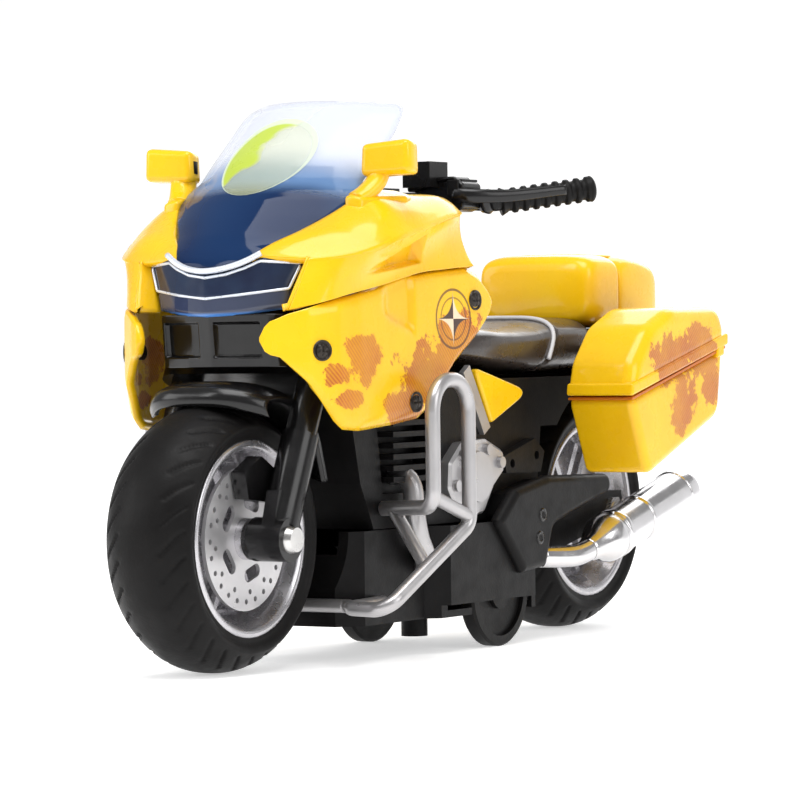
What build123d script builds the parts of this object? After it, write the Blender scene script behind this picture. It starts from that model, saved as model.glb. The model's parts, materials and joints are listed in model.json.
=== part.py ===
from build123d import *
from math import cos, radians, sin
import os

# Toy touring motorcycle with a clockwork motor, in millimetres.
# Z is up, the bike points along -Y and its left side is +X.  The origin is on the ground, half way
# between the two wheels.  Every sub-part is written to its own STEP file in parts/.

# ---- driving dimensions ---------------------------------------------------------------------
WHEELBASE = 113.0
WHEEL_R = 22.0
TYRE_HALF = 8.2
RIM_R = 16.2
RIM_HALF = 7.2
AXLE_R = 1.5
FIT = 0.08                      # radial clearance of a running fit
GAP = 0.3                       # clearance between neighbours that move past each other

FRONT_Y = -WHEELBASE / 2
REAR_Y = WHEELBASE / 2
RAKE = 24.0                     # steering head angle from the vertical, degrees

MOTOR_AXLE_Y, MOTOR_AXLE_Z = 11.5, 9.75     # driven axle under the belly
SUPPORT_R = MOTOR_AXLE_Z
SUPPORT_IN, SUPPORT_OUT = 11.6, 14.5
DRIVE_AXLE_R = 1.0

MODULE = 0.5
AXLE_TEETH, IDLER_TEETH, IDLER_PINION_TEETH, SPRING_TEETH = 10, 20, 10, 30
MESH_SLACK = 0.08               # added to each centre distance

FAIRING_WALL = 1.6
SKIN = 1.5                      # wall of the other mouldings

os.makedirs("parts", exist_ok=True)
pieces = []


def keep(builder, name):
    """Label a finished sub-part and remember it for export."""
    builder.part.label = name
    pieces.append(builder.part)


def side_outline(points, x):
    """Closed outline seen from the side, given as (y, z) points on the plane at x."""
    with BuildSketch(Plane.YZ.offset(x)) as outline:
        Polygon(*points, align=None)
    return outline.sketch


def plan_outline(points, z):
    """Closed outline seen from above, given as (x, y) points at height z."""
    with BuildSketch(Plane.XY.offset(z)) as outline:
        Polygon(*points, align=None)
    return outline.sketch


def front_outline(points, y):
    """Closed outline seen from the front, given as (x, z) points at station y."""
    with BuildSketch(Plane.XZ.offset(-y)) as outline:
        Polygon(*points, align=None)
    return outline.sketch


def disc_at(x, y, z, radius):
    """Round outline on the plane at x, centred at (y, z)."""
    with BuildSketch(Plane.YZ.offset(x)) as outline:
        with Locations((y, z)):
            Circle(radius)
    return outline.sketch


def wall_section(points, thickness):
    """Turn an open outline into a closed strip of the given thickness on its right-hand side."""
    inner = []
    for i, (a, b) in enumerate(points):
        before = points[max(i - 1, 0)]
        after = points[min(i + 1, len(points) - 1)]
        run = Vector(after[0] - before[0], after[1] - before[1]).normalized()
        inner.append((a + run.Y * thickness, b - run.X * thickness))
    return list(points) + inner[::-1]


def mirrored(points):
    """The same (x, ...) points on the other side of the centre plane."""
    return [(-p[0],) + tuple(p[1:]) for p in points]


# ---- wheels ----------------------------------------------------------------------------------
def tyre_outline(wheel_y):
    """Half section of a round-shouldered tyre, in the plane through the wheel's axis."""
    crown, shoulder, bead = WHEEL_R, WHEEL_R - 3.6, RIM_R - 0.4
    with BuildSketch(Plane.XY.offset(WHEEL_R)) as outline:
        with BuildLine():
            tread = ThreePointArc(
                (-TYRE_HALF, wheel_y + shoulder), (0, wheel_y + crown), (TYRE_HALF, wheel_y + shoulder)
            )
            Polyline(
                tread @ 1,
                (RIM_HALF + 0.3, wheel_y + bead + 0.8),
                (RIM_HALF, wheel_y + bead),
                (RIM_HALF - 1.4, wheel_y + bead),
                (RIM_HALF - 1.4, wheel_y + RIM_R - 1.2),
                (1.4 - RIM_HALF, wheel_y + RIM_R - 1.2),
                (1.4 - RIM_HALF, wheel_y + bead),
                (-RIM_HALF, wheel_y + bead),
                (-RIM_HALF - 0.3, wheel_y + bead + 0.8),
                tread @ 0,
            )
        make_face()
    return outline.sketch


def rim_outline(wheel_y):
    """Half section of the rim's drop centre, in the plane through the wheel's axis."""
    well, lip = RIM_R - 1.2, RIM_R - 0.4
    with BuildSketch(Plane.XY.offset(WHEEL_R)) as outline:
        Polygon(
            (-RIM_HALF, wheel_y + lip), (1.4 - RIM_HALF, wheel_y + lip), (1.4 - RIM_HALF, wheel_y + well),
            (RIM_HALF - 1.4, wheel_y + well), (RIM_HALF - 1.4, wheel_y + lip), (RIM_HALF, wheel_y + lip),
            (RIM_HALF, wheel_y + lip - 1.0), (RIM_HALF - 1.8, wheel_y + well - 1.2),
            (2.6, wheel_y + well - 2.4), (-2.6, wheel_y + well - 2.4),
            (1.8 - RIM_HALF, wheel_y + well - 1.2), (-RIM_HALF, wheel_y + lip - 1.0),
            align=None,
        )
    return outline.sketch


def wheel_axis(wheel_y):
    """Axis of a road wheel."""
    return Axis((0, wheel_y, WHEEL_R), (1, 0, 0))


HUB_R = 3.4
HUB_HALF = 7.6
SPOKE_COUNT = 6
SPOKE_SPREAD = 1.7              # half the distance between the two bars of a twin spoke

for end, wheel_y in (("front", FRONT_Y), ("rear", REAR_Y)):
    with BuildPart() as tyre:
        revolve(tyre_outline(wheel_y), axis=wheel_axis(wheel_y))
    keep(tyre, end + "_tyre")

    with BuildPart() as rim:
        revolve(rim_outline(wheel_y), axis=wheel_axis(wheel_y))
        extrude(disc_at(-HUB_HALF, wheel_y, WHEEL_R, HUB_R), amount=2 * HUB_HALF)
        with BuildSketch(Plane.YZ.offset(-2.2)) as spokes:
            with Locations((wheel_y, WHEEL_R)):
                with PolarLocations(8.0, SPOKE_COUNT):
                    with Locations((0, SPOKE_SPREAD), (0, -SPOKE_SPREAD)):
                        Rectangle(12.4, 1.3)
        extrude(amount=4.4)
        with Locations(Plane.YZ.offset(-HUB_HALF)):
            with Locations((wheel_y, WHEEL_R)):
                Cylinder(
                    AXLE_R + FIT, 2 * HUB_HALF,
                    align=(Align.CENTER, Align.CENTER, Align.MIN), mode=Mode.SUBTRACT,
                )
    keep(rim, end + "_rim")

DISC_R = 11.7
DISC_THICK = 0.7
DISC_IN = 5.6                   # inner face of each brake disc
with BuildPart() as front_discs:
    for face in (DISC_IN, -DISC_IN - DISC_THICK):
        with BuildSketch(Plane.YZ.offset(face)):
            with Locations((FRONT_Y, WHEEL_R)):
                Circle(DISC_R)
                Circle(HUB_R, mode=Mode.SUBTRACT)
                with PolarLocations(DISC_R - 1.5, 24):
                    Circle(0.45, mode=Mode.SUBTRACT)
                with PolarLocations(DISC_R - 3.0, 12, start_angle=7.5):
                    Circle(0.45, mode=Mode.SUBTRACT)
                with PolarLocations(5.9, 5):
                    SlotCenterToCenter(2.4, 2.2, rotation=90, mode=Mode.SUBTRACT)
        extrude(amount=DISC_THICK)
keep(front_discs, "front_discs")

# ---- steering: fork, fender, handlebar ----------------------------------------------------------
steer_dir = Vector(0, sin(radians(RAKE)), cos(radians(RAKE)))


def on_steer_axis(height):
    """Point of the steering axis at this height above the ground."""
    return Vector(0, FRONT_Y, WHEEL_R) + steer_dir * ((height - WHEEL_R) / steer_dir.Z)


def steer_plane(height):
    """Plane across the steering axis, with its x along +X."""
    return Plane(origin=on_steer_axis(height), x_dir=(1, 0, 0), z_dir=steer_dir)


FORK_X = 12.4
FORK_R = 2.6
SLIDER_R = 3.1
YOKE_Z = 47.0                   # height of the lower yoke's underside on the steering axis
YOKE_THICK = 3.0
HEAD_BORE_R = 2.2
STEM_TOP_Z = 65.0

BOSS_R = 3.6
with BuildPart() as fork_left:
    # lower slider, upper tube and the boss round the axle
    with Locations(steer_plane(24.0)):
        with Locations((FORK_X, 0)):
            Cylinder(SLIDER_R, 16.0, align=(Align.CENTER, Align.CENTER, Align.MIN))
            Cylinder(FORK_R, 26.0, align=(Align.CENTER, Align.CENTER, Align.MIN))
    with Locations(Plane.YZ.offset(FORK_X - 3.9)):
        with Locations((FRONT_Y, WHEEL_R)):
            Cylinder(BOSS_R, 6.6, align=(Align.CENTER, Align.CENTER, Align.MIN))
            Cylinder(AXLE_R, 20.0, mode=Mode.SUBTRACT)
    with BuildSketch(Plane.YZ.offset(FORK_X - 1.2)):
        Polygon(
            (FRONT_Y - 3.4, WHEEL_R), (FRONT_Y - 1.0, WHEEL_R + 8.0), (FRONT_Y + 7.5, WHEEL_R + 8.0),
            (FRONT_Y + 3.4, WHEEL_R), align=None,
        )
        with Locations((FRONT_Y, WHEEL_R)):
            Circle(AXLE_R, mode=Mode.SUBTRACT)
    extrude(amount=2.4)
keep(fork_left, "fork_left")

with BuildPart() as fork_right:
    mirror(fork_left.part, about=Plane.YZ)
keep(fork_right, "fork_right")

with BuildPart() as fork_yoke:
    # bar across both legs, and the stem that turns in the steering head
    with BuildSketch(steer_plane(YOKE_Z)):
        SlotCenterToCenter(2 * FORK_X, 8.4)
        with Locations((FORK_X, 0), (-FORK_X, 0)):
            Circle(FORK_R, mode=Mode.SUBTRACT)
    extrude(amount=YOKE_THICK)
    with BuildSketch(steer_plane(YOKE_Z)):
        Circle(HEAD_BORE_R - FIT)
    extrude(amount=(STEM_TOP_Z - YOKE_Z) / steer_dir.Z)
keep(fork_yoke, "fork_yoke")

FENDER_HALF = 11.6
FENDER_R = WHEEL_R + 1.4
with BuildPart() as front_fender:
    # arched guard over the tyre, with a peaked front lip and side ears up to the yoke
    with BuildSketch(Plane.YZ.offset(-FENDER_HALF)):
        Polygon(
            (FRONT_Y - 6.0, 43.4), (FRONT_Y - 5.6, 46.6), (FRONT_Y + 2.0, 47.4), (FRONT_Y + 6.0, 46.4),
            (FRONT_Y + 16.0, 41.4), (FRONT_Y + 20.5, 35.0), (FRONT_Y + 14.0, 30.0), (FRONT_Y, 38.0),
            align=None,
        )
        with Locations((FRONT_Y, WHEEL_R)):
            Circle(FENDER_R, mode=Mode.SUBTRACT)
    extrude(amount=2 * FENDER_HALF)
    with Locations(steer_plane(24.0)):
        with Locations((FORK_X, 0), (-FORK_X, 0)):
            Cylinder(
                SLIDER_R + 0.02, 40.0, align=(Align.CENTER, Align.CENTER, Align.MIN), mode=Mode.SUBTRACT
            )
    with BuildSketch(steer_plane(YOKE_Z)):
        Rectangle(40, 24)
    extrude(amount=10, mode=Mode.SUBTRACT)
keep(front_fender, "front_fender")

with BuildPart() as brake_caliper:
    # four-pot block hung on the back of the left slider, straddling the disc
    with BuildSketch(Plane.YZ.offset(DISC_IN + DISC_THICK + GAP)):
        Polygon(
            (FRONT_Y - 3.4, WHEEL_R + 6.6), (FRONT_Y - 4.4, WHEEL_R + 11.0), (FRONT_Y + 0.6, WHEEL_R + 13.4),
            (FRONT_Y + 5.6, WHEEL_R + 10.6), (FRONT_Y + 3.0, WHEEL_R + 5.8), align=None,
        )
    extrude(amount=FORK_X - SLIDER_R - DISC_IN - DISC_THICK - GAP)
keep(brake_caliper, "brake_caliper")

with BuildPart() as front_axle:
    # plain rod with a domed bolt head at each end
    with Locations(Plane.YZ.offset(-15.4)):
        with Locations((FRONT_Y, WHEEL_R)):
            Cylinder(AXLE_R, 30.8, align=(Align.CENTER, Align.CENTER, Align.MIN))
    for face, way in ((FORK_X + 2.7, 1), (-FORK_X - 2.7, -1)):
        with BuildSketch(Plane.YZ.offset(face)):
            with Locations((FRONT_Y, WHEEL_R)):
                Circle(2.3)
        extrude(amount=way * 1.2, taper=15)
keep(front_axle, "front_axle")

BAR_R = 1.5
GRIP_R = 2.2
grip_in = Vector(20.6, 0.6, 77.2)
grip_end = Vector(33.6, 12.8, 79.6)
grip_dir = (grip_end - grip_in).normalized()
with BuildPart() as handlebar:
    # top yoke on the stem, an arm back over the tank, and the swept bar
    with BuildSketch(steer_plane(STEM_TOP_Z)):
        SlotCenterToCenter(12, 8)
    extrude(amount=2.6)
    with BuildSketch(Plane.YZ.offset(-3.6)):
        Polygon(
            (-38.5, 66.2), (-38.5, 68.6), (-16.0, 71.6), (-10.0, 80.0), (-3.0, 80.0), (-3.0, 75.6),
            (-10.4, 68.4), (-33.0, 64.6), align=None,
        )
    extrude(amount=7.2)
    for side in (1, -1):
        with BuildLine():
            FilletPolyline(
                (0, -6.6, 77.8), (side * 12.6, -5.2, 77.6), (side * grip_in.X, grip_in.Y, grip_in.Z),
                (side * (grip_end.X - 0.8), grip_end.Y - 0.75, grip_end.Z - 0.15), radius=3.0,
            )
        with BuildSketch(Plane.YZ):
            with Locations((-6.6, 77.8)):
                Circle(BAR_R)
        sweep()
    # clamps, switch blocks and the brake fluid cups
    for side in (1, -1):
        with Locations((side * 14.4, -4.6, 78.6)):
            Box(8.6, 5.0, 5.0)
        with Locations((side * 11.6, -7.6, 82.0)):
            Box(5.4, 6.0, 4.4)
keep(handlebar, "handlebar")

with BuildPart() as grips:
    for side in (1, -1):
        start = Vector(side * grip_in.X, grip_in.Y, grip_in.Z)
        way = Vector(side * grip_dir.X, grip_dir.Y, grip_dir.Z)
        length = (grip_end - grip_in).length
        with Locations(Plane(origin=start + way * 1.2, z_dir=way)):
            Cylinder(GRIP_R, length - 1.2, align=(Align.CENTER, Align.CENTER, Align.MIN))
            Cylinder(
                BAR_R, length - 1.9, align=(Align.CENTER, Align.CENTER, Align.MIN), mode=Mode.SUBTRACT
            )
keep(grips, "grips")

with BuildPart() as levers:
    for side in (1, -1):
        with BuildLine():
            FilletPolyline(
                (side * 16.2, -7.6, 78.8), (side * 20.4, -7.0, 79.0), (side * 31.4, 5.6, 80.6), radius=3.0
            )
        with BuildSketch(Plane.YZ.offset(side * 16.2)):
            with Locations((-7.6, 78.8)):
                Rectangle(1.6, 1.2)
        sweep()
keep(levers, "levers")

# ---- steering head and frame ---------------------------------------------------------------------
HEAD_LOW = YOKE_Z + (YOKE_THICK + 0.25) * steer_dir.Z
with BuildPart() as steering_head:
    with BuildSketch(steer_plane(HEAD_LOW)):
        Circle(4.6)
        Circle(HEAD_BORE_R, mode=Mode.SUBTRACT)
    extrude(amount=(STEM_TOP_Z - HEAD_LOW) / steer_dir.Z - 0.25)
keep(steering_head, "steering_head")

FRAME_HALF = 12.4
frame_points = [
    (-36.0, 50.5), (-33.0, 61.0), (-14.0, 61.0), (-3.0, 49.0), (1.0, 46.8), (29.8, 46.8), (29.8, 38.0),
    (28.0, 24.0), (27.0, 22.2), (-27.0, 22.2), (-31.0, 30.0),
]
inner_points = [
    (-31.0, 50.0), (-30.0, 58.4), (-15.0, 58.4), (-4.6, 46.6), (0.4, 44.0), (27.0, 44.0), (27.0, 38.0),
    (25.6, 24.6), (-25.6, 24.6), (-29.0, 31.0),
]
bracket_points = [(14.4, 30.2), (13.8, 33.2), (24.6, 36.0), (28.0, 33.6), (26.6, 30.0)]
bracket_holes = [(16.6, 31.8), (25.2, 33.0)]
BRACKET_THICK = 1.8
with BuildPart() as frame_left:
    # half of the hollow spine moulding, open along the centre plane, with a foot bracket outside
    extrude(side_outline(frame_points, 0), amount=FRAME_HALF)
    extrude(side_outline(inner_points, 0), amount=FRAME_HALF - 1.8, mode=Mode.SUBTRACT)
    extrude(
        side_outline([(-24.0, 28.0), (-26.0, 42.0), (-10.0, 42.0), (-10.0, 28.0)], 0),
        amount=FRAME_HALF, mode=Mode.SUBTRACT,
    )
    # way for the motor case through the floor
    extrude(
        side_outline([(-7.2, 20.0), (-7.2, 26.0), (17.2, 26.0), (17.2, 20.0)], 0),
        amount=9.0, mode=Mode.SUBTRACT,
    )
    extrude(side_outline(bracket_points, FRAME_HALF), amount=BRACKET_THICK)
    for hole in bracket_holes:
        extrude(disc_at(FRAME_HALF, *hole, 0.8), amount=BRACKET_THICK, mode=Mode.SUBTRACT)
    # the steering head passes through the front wall
    with BuildSketch(steer_plane(44.0)):
        Circle(4.7)
    extrude(amount=24.0, mode=Mode.SUBTRACT)
keep(frame_left, "frame_left")

with BuildPart() as frame_right:
    mirror(frame_left.part, about=Plane.YZ)
keep(frame_right, "frame_right")

BELLY_HALF = 16.0
FLOOR_LOW, FLOOR_HIGH = 6.2, 7.4
BELLY_TOP = 22.0
BELLY_FRONT_HALF = 12.4
belly_plan = [
    (0, -34.0), (9.0, -34.0), (BELLY_FRONT_HALF, -30.0), (BELLY_FRONT_HALF, -11.0), (BELLY_HALF, -8.0),
    (BELLY_HALF, 21.0), (13.0, 26.0), (0, 26.0),
]
belly_inner = [
    (0, -32.4), (8.4, -32.4), (BELLY_FRONT_HALF - 1.2, -29.4), (BELLY_FRONT_HALF - 1.2, -10.2),
    (BELLY_HALF - 1.2, -7.0), (BELLY_HALF - 1.2, 20.6), (12.3, 24.6), (0, 24.6),
]
POST_X, POST_Y, POST_R, POST_LOW, POST_TOP = 4.2, -0.9, 2.3, 2.4, 9.0
PILOT_R, PILOT_DEPTH = 0.9, 4.8
SCREW_R = 1.3
belly_screws = [(7.0, -24.0), (-7.0, -24.0), (7.0, 21.4), (-7.0, 21.4)]
with BuildPart() as belly_pan:
    # tray with a skirt over the support wheels
    for points in (belly_plan, mirrored(belly_plan)):
        extrude(plan_outline(points, FLOOR_LOW), amount=BELLY_TOP - FLOOR_LOW)
    for points in (belly_inner, mirrored(belly_inner)):
        extrude(plan_outline(points, FLOOR_HIGH), amount=BELLY_TOP - FLOOR_HIGH, mode=Mode.SUBTRACT)
    # skirts end higher than the floor, and the wheels come through slots in the floor
    for side in (1, -1):
        with Locations((side * (SUPPORT_IN + SUPPORT_OUT) / 2, MOTOR_AXLE_Y, FLOOR_LOW)):
            Box(SUPPORT_OUT - SUPPORT_IN + 1.0, 2 * SUPPORT_R + 1.2, 4.0, mode=Mode.SUBTRACT)
        with Locations((side * BELLY_HALF, 4.5, FLOOR_LOW)):
            Box(2.6, 50.0, 2 * (8.4 - FLOOR_LOW), mode=Mode.SUBTRACT)
    # window that the motor case fills
    with Locations((0, 9.3, FLOOR_LOW)):
        Box(17.3, 15.4, 6.0, mode=Mode.SUBTRACT)
    # concave front that clears the front tyre
    with Locations(Plane.YZ.offset(-BELLY_HALF)):
        with Locations((FRONT_Y, WHEEL_R)):
            Cylinder(
                WHEEL_R + 2.4, 2 * BELLY_HALF,
                align=(Align.CENTER, Align.CENTER, Align.MIN), mode=Mode.SUBTRACT,
            )
    for screw_x, screw_y in belly_screws:
        with Locations((screw_x, screw_y, FLOOR_LOW)):
            Cylinder(SCREW_R + 0.05, 4.0, mode=Mode.SUBTRACT)
    # post with a blind pilot hole for the packing screw
    with Locations((POST_X, POST_Y, POST_LOW)):
        Cylinder(POST_R, POST_TOP - POST_LOW, align=(Align.CENTER, Align.CENTER, Align.MIN))
        Cylinder(PILOT_R, PILOT_DEPTH, align=(Align.CENTER, Align.CENTER, Align.MIN), mode=Mode.SUBTRACT)
keep(belly_pan, "belly_pan")

# ---- clockwork motor ---------------------------------------------------------------------------
def gear_face(teeth, x, centre, phase):
    """Toothed wheel outline on the plane at x; phase turns the first tooth, in degrees."""
    pitch = MODULE * teeth / 2
    tip, root = pitch + 0.8 * MODULE, pitch - 1.15 * MODULE
    with BuildSketch(Plane.YZ.offset(x)) as face:
        with Locations(centre):
            Circle(root + 0.02)
            with PolarLocations(0.001, teeth, start_angle=phase):
                Polygon(
                    (root - 0.1, -0.62 * MODULE), (pitch, -0.50 * MODULE), (tip, -0.26 * MODULE),
                    (tip, 0.26 * MODULE), (pitch, 0.50 * MODULE), (root - 0.1, 0.62 * MODULE), align=None,
                )
    return face.sketch


def step_from(centre, teeth_a, teeth_b, angle):
    """Centre of a gear that meshes with another one, in the direction angle (degrees in YZ)."""
    reach = MODULE * (teeth_a + teeth_b) / 2 + MESH_SLACK
    return (centre[0] + reach * cos(radians(angle)), centre[1] + reach * sin(radians(angle)))


AXLE_TO_IDLER, IDLER_TO_SPRING = 105.0, 130.0
axle_centre = (MOTOR_AXLE_Y, MOTOR_AXLE_Z)
idler_centre = step_from(axle_centre, AXLE_TEETH, IDLER_TEETH, AXLE_TO_IDLER)
spring_centre = step_from(idler_centre, IDLER_PINION_TEETH, SPRING_TEETH, IDLER_TO_SPRING)
SLOW_X, FAST_X, GEAR_THICK = -2.6, 0.6, 1.8
PINION_X, PINION_THICK = 0.3, 2.4
CASE_HALF, CASE_WALL = 8.4, 1.2
ARBOR_R = 0.8
DRUM_R, DRUM_LEN = 6.6, 4.2

with BuildPart() as drive_axle:
    with Locations(Plane.YZ.offset(-SUPPORT_OUT)):
        with Locations(axle_centre):
            Cylinder(DRIVE_AXLE_R, 2 * SUPPORT_OUT, align=(Align.CENTER, Align.CENTER, Align.MIN))
    extrude(gear_face(AXLE_TEETH, PINION_X, axle_centre, AXLE_TO_IDLER), amount=PINION_THICK)
keep(drive_axle, "drive_axle")

with BuildPart() as support_wheels:
    for low in (SUPPORT_IN, -SUPPORT_OUT):
        with BuildSketch(Plane.YZ.offset(low)):
            with Locations(axle_centre):
                Circle(SUPPORT_R)
                Circle(DRIVE_AXLE_R, mode=Mode.SUBTRACT)
        extrude(amount=SUPPORT_OUT - SUPPORT_IN)
    chamfer(support_wheels.edges().filter_by(GeomType.CIRCLE).group_by(SortBy.RADIUS)[-1], 0.4)
    for side in (1, -1):
        with BuildSketch(Plane.YZ.offset(side * SUPPORT_OUT)):
            with Locations(axle_centre):
                Circle(SUPPORT_R - 1.8)
                Circle(3.2, mode=Mode.SUBTRACT)
        extrude(amount=-side * 0.8, mode=Mode.SUBTRACT)
keep(support_wheels, "support_wheels")

with BuildPart() as idler_gear:
    with Locations(Plane.YZ.offset(-CASE_HALF + 0.4)):
        with Locations(idler_centre):
            Cylinder(ARBOR_R, 2 * CASE_HALF - 0.8, align=(Align.CENTER, Align.CENTER, Align.MIN))
    half_tooth = 180.0 / IDLER_TEETH
    extrude(
        gear_face(IDLER_TEETH, FAST_X, idler_centre, AXLE_TO_IDLER + 180.0 + half_tooth), amount=GEAR_THICK
    )
    extrude(
        gear_face(IDLER_PINION_TEETH, SLOW_X - 0.3, idler_centre, IDLER_TO_SPRING), amount=PINION_THICK
    )
keep(idler_gear, "idler_gear")

with BuildPart() as spring_gear:
    # toothed wheel with an open drum for the mainspring on its outer face
    with Locations(Plane.YZ.offset(-CASE_HALF + 0.4)):
        with Locations(spring_centre):
            Cylinder(ARBOR_R, 2 * CASE_HALF - 0.8, align=(Align.CENTER, Align.CENTER, Align.MIN))
    half_tooth = 180.0 / SPRING_TEETH
    extrude(
        gear_face(SPRING_TEETH, SLOW_X, spring_centre, IDLER_TO_SPRING + 180.0 + half_tooth),
        amount=GEAR_THICK,
    )
    with BuildSketch(Plane.YZ.offset(SLOW_X)):
        with Locations(spring_centre):
            Circle(DRUM_R)
            Circle(DRUM_R - 0.7, mode=Mode.SUBTRACT)
    extrude(amount=-DRUM_LEN)
keep(spring_gear, "spring_gear")

SPRING_TURNS, SPRING_STEPS = 5, 16
SPRING_IN_R, SPRING_OUT_R, STRIP_HALF = 0.95, 5.75, 0.15


def spiral_edge(offset):
    """Points along the coiled strip, this far from its middle line, from the arbor out."""
    count = SPRING_TURNS * SPRING_STEPS
    edge = []
    for i in range(count + 1):
        radius = SPRING_IN_R + (SPRING_OUT_R - SPRING_IN_R) * i / count + offset
        turn = radians(360.0 * i / SPRING_STEPS)
        edge.append((spring_centre[0] + radius * cos(turn), spring_centre[1] + radius * sin(turn)))
    return edge


with BuildPart() as mainspring:
    # one flat steel strip coiled from the arbor out to the wall of the drum
    coil = spiral_edge(STRIP_HALF) + spiral_edge(-STRIP_HALF)[::-1]
    extrude(side_outline(coil, SLOW_X - 0.2), amount=-DRUM_LEN + 0.6)
keep(mainspring, "mainspring")

case_points = [
    (-6.8, 18.0), (-6.8, 30.0), (-3.4, 34.0), (9.0, 34.0), (12.0, 28.0), (16.6, 24.0), (16.6, FLOOR_LOW),
    (2.0, FLOOR_LOW), (2.0, 14.0),
]
case_inner = [
    (-5.6, 18.6), (-5.6, 29.6), (-2.8, 32.8), (8.4, 32.8), (11.0, 27.2), (15.4, 23.2),
    (15.4, FLOOR_LOW + 0.5), (7.8, FLOOR_LOW + 0.5), (3.2, 13.8),
]
with BuildPart() as motor_case_left:
    extrude(side_outline(case_points, 0), amount=CASE_HALF)
    extrude(side_outline(case_inner, 0), amount=CASE_HALF - CASE_WALL, mode=Mode.SUBTRACT)
    for centre, radius in (
        (axle_centre, DRIVE_AXLE_R + FIT), (idler_centre, ARBOR_R + FIT), (spring_centre, ARBOR_R + FIT)
    ):
        extrude(disc_at(0, *centre, radius), amount=CASE_HALF + 1, mode=Mode.SUBTRACT)
keep(motor_case_left, "motor_case_left")

with BuildPart() as motor_case_right:
    mirror(motor_case_left.part, about=Plane.YZ)
keep(motor_case_right, "motor_case_right")

# ---- engine, covers and exhaust -----------------------------------------------------------------
FIN_COUNT, FIN_PITCH, FIN_LOW, FIN_HALF = 6, 1.9, 30.4, 14.2
with BuildPart() as engine_block:
    # crankcase between the frame halves, with cooling fins out through the frame's windows
    with Locations((0, -17.0, 34.6)):
        Box(20.0, 13.4, 19.0)
    for fin in range(FIN_COUNT):
        with Locations((0, -17.0, FIN_LOW + fin * FIN_PITCH)):
            Box(2 * FIN_HALF, 12.6, 0.9)
keep(engine_block, "engine_block")

COVER_IN, COVER_OUT = FRAME_HALF, 14.6
cover_points = [
    (-5.6, 28.2), (-5.2, 32.6), (-1.0, 36.0), (7.2, 36.4), (13.0, 34.2), (13.2, 30.6), (9.6, 28.0),
    (6.2, 23.6), (1.8, 22.9), (-3.0, 24.6),
]
cover_bolts = [(-3.6, 28.6), (-1.6, 33.8), (7.0, 34.6), (11.4, 32.2), (2.2, 24.6)]
with BuildPart() as clutch_cover_left:
    # bright casting with a raised round boss and five bolts
    extrude(side_outline(cover_points, COVER_IN), amount=COVER_OUT - COVER_IN)
    fillet(clutch_cover_left.edges().filter_by(Axis.X), 1.2)
    chamfer(clutch_cover_left.faces().sort_by(Axis.X)[-1].edges(), 0.5)
    extrude(disc_at(COVER_OUT, 2.6, 30.0, 4.6), amount=1.2, taper=12)
    for bolt in cover_bolts:
        extrude(disc_at(COVER_OUT, *bolt, 1.0), amount=0.7)
keep(clutch_cover_left, "clutch_cover_left")

with BuildPart() as clutch_cover_right:
    mirror(clutch_cover_left.part, about=Plane.YZ)
keep(clutch_cover_right, "clutch_cover_right")

PIPE_R = 1.8
PIPE_X = 14.3
MUFFLER_X, MUFFLER_R = 17.8, 4.2
muffler_start = Vector(MUFFLER_X, 37.0, 15.6)
muffler_end = Vector(MUFFLER_X, 73.0, 25.0)
muffler_dir = (muffler_end - muffler_start).normalized()
muffler_len = (muffler_end - muffler_start).length
with BuildPart() as exhaust_pipes:
    # one header pipe on each side, and the left-hand pipe that runs on to the silencer
    for side in (1, -1):
        with BuildLine():
            FilletPolyline(
                (side * PIPE_X, -17.0, 29.4), (side * PIPE_X, -14.6, 22.0), (side * PIPE_X, -13.2, 14.4),
                (side * PIPE_X, -8.8, 12.6), radius=3.4,
            )
        with BuildSketch(Plane(origin=(side * PIPE_X, -17.0, 29.4), z_dir=(0, 2.4, -7.4))):
            Circle(PIPE_R)
        sweep()
    with BuildLine():
        FilletPolyline((14.0, 27.4, 14.9), (17.2, 32.0, 14.6), tuple(muffler_start), radius=6.0)
    with BuildSketch(Plane(origin=(14.0, 27.4, 14.9), z_dir=(3.2, 4.6, -0.3))):
        Circle(PIPE_R)
    sweep()
keep(exhaust_pipes, "exhaust_pipes")

with BuildPart() as muffler:
    # cone, can with two bands, and a hollow outlet
    with BuildSketch(Plane(origin=muffler_start, x_dir=(1, 0, 0), z_dir=muffler_dir)):
        Circle(PIPE_R + 0.5)
    with BuildSketch(Plane(origin=muffler_start + muffler_dir * 6.0, x_dir=(1, 0, 0), z_dir=muffler_dir)):
        Circle(MUFFLER_R)
    loft()
    with Locations(Plane(origin=muffler_start + muffler_dir * 6.0, x_dir=(1, 0, 0), z_dir=muffler_dir)):
        Cylinder(MUFFLER_R, muffler_len - 6.0, align=(Align.CENTER, Align.CENTER, Align.MIN))
    for station in (8.0, 19.0, muffler_len - 1.6):
        band_at = muffler_start + muffler_dir * station
        with Locations(Plane(origin=band_at, x_dir=(1, 0, 0), z_dir=muffler_dir)):
            Cylinder(MUFFLER_R + 0.3, 1.2, align=(Align.CENTER, Align.CENTER, Align.MIN))
    with Locations(Plane(origin=muffler_end, x_dir=(1, 0, 0), z_dir=-muffler_dir)):
        Cylinder(MUFFLER_R - 0.8, 9.0, align=(Align.CENTER, Align.CENTER, Align.MIN), mode=Mode.SUBTRACT)
keep(muffler, "muffler")

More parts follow.
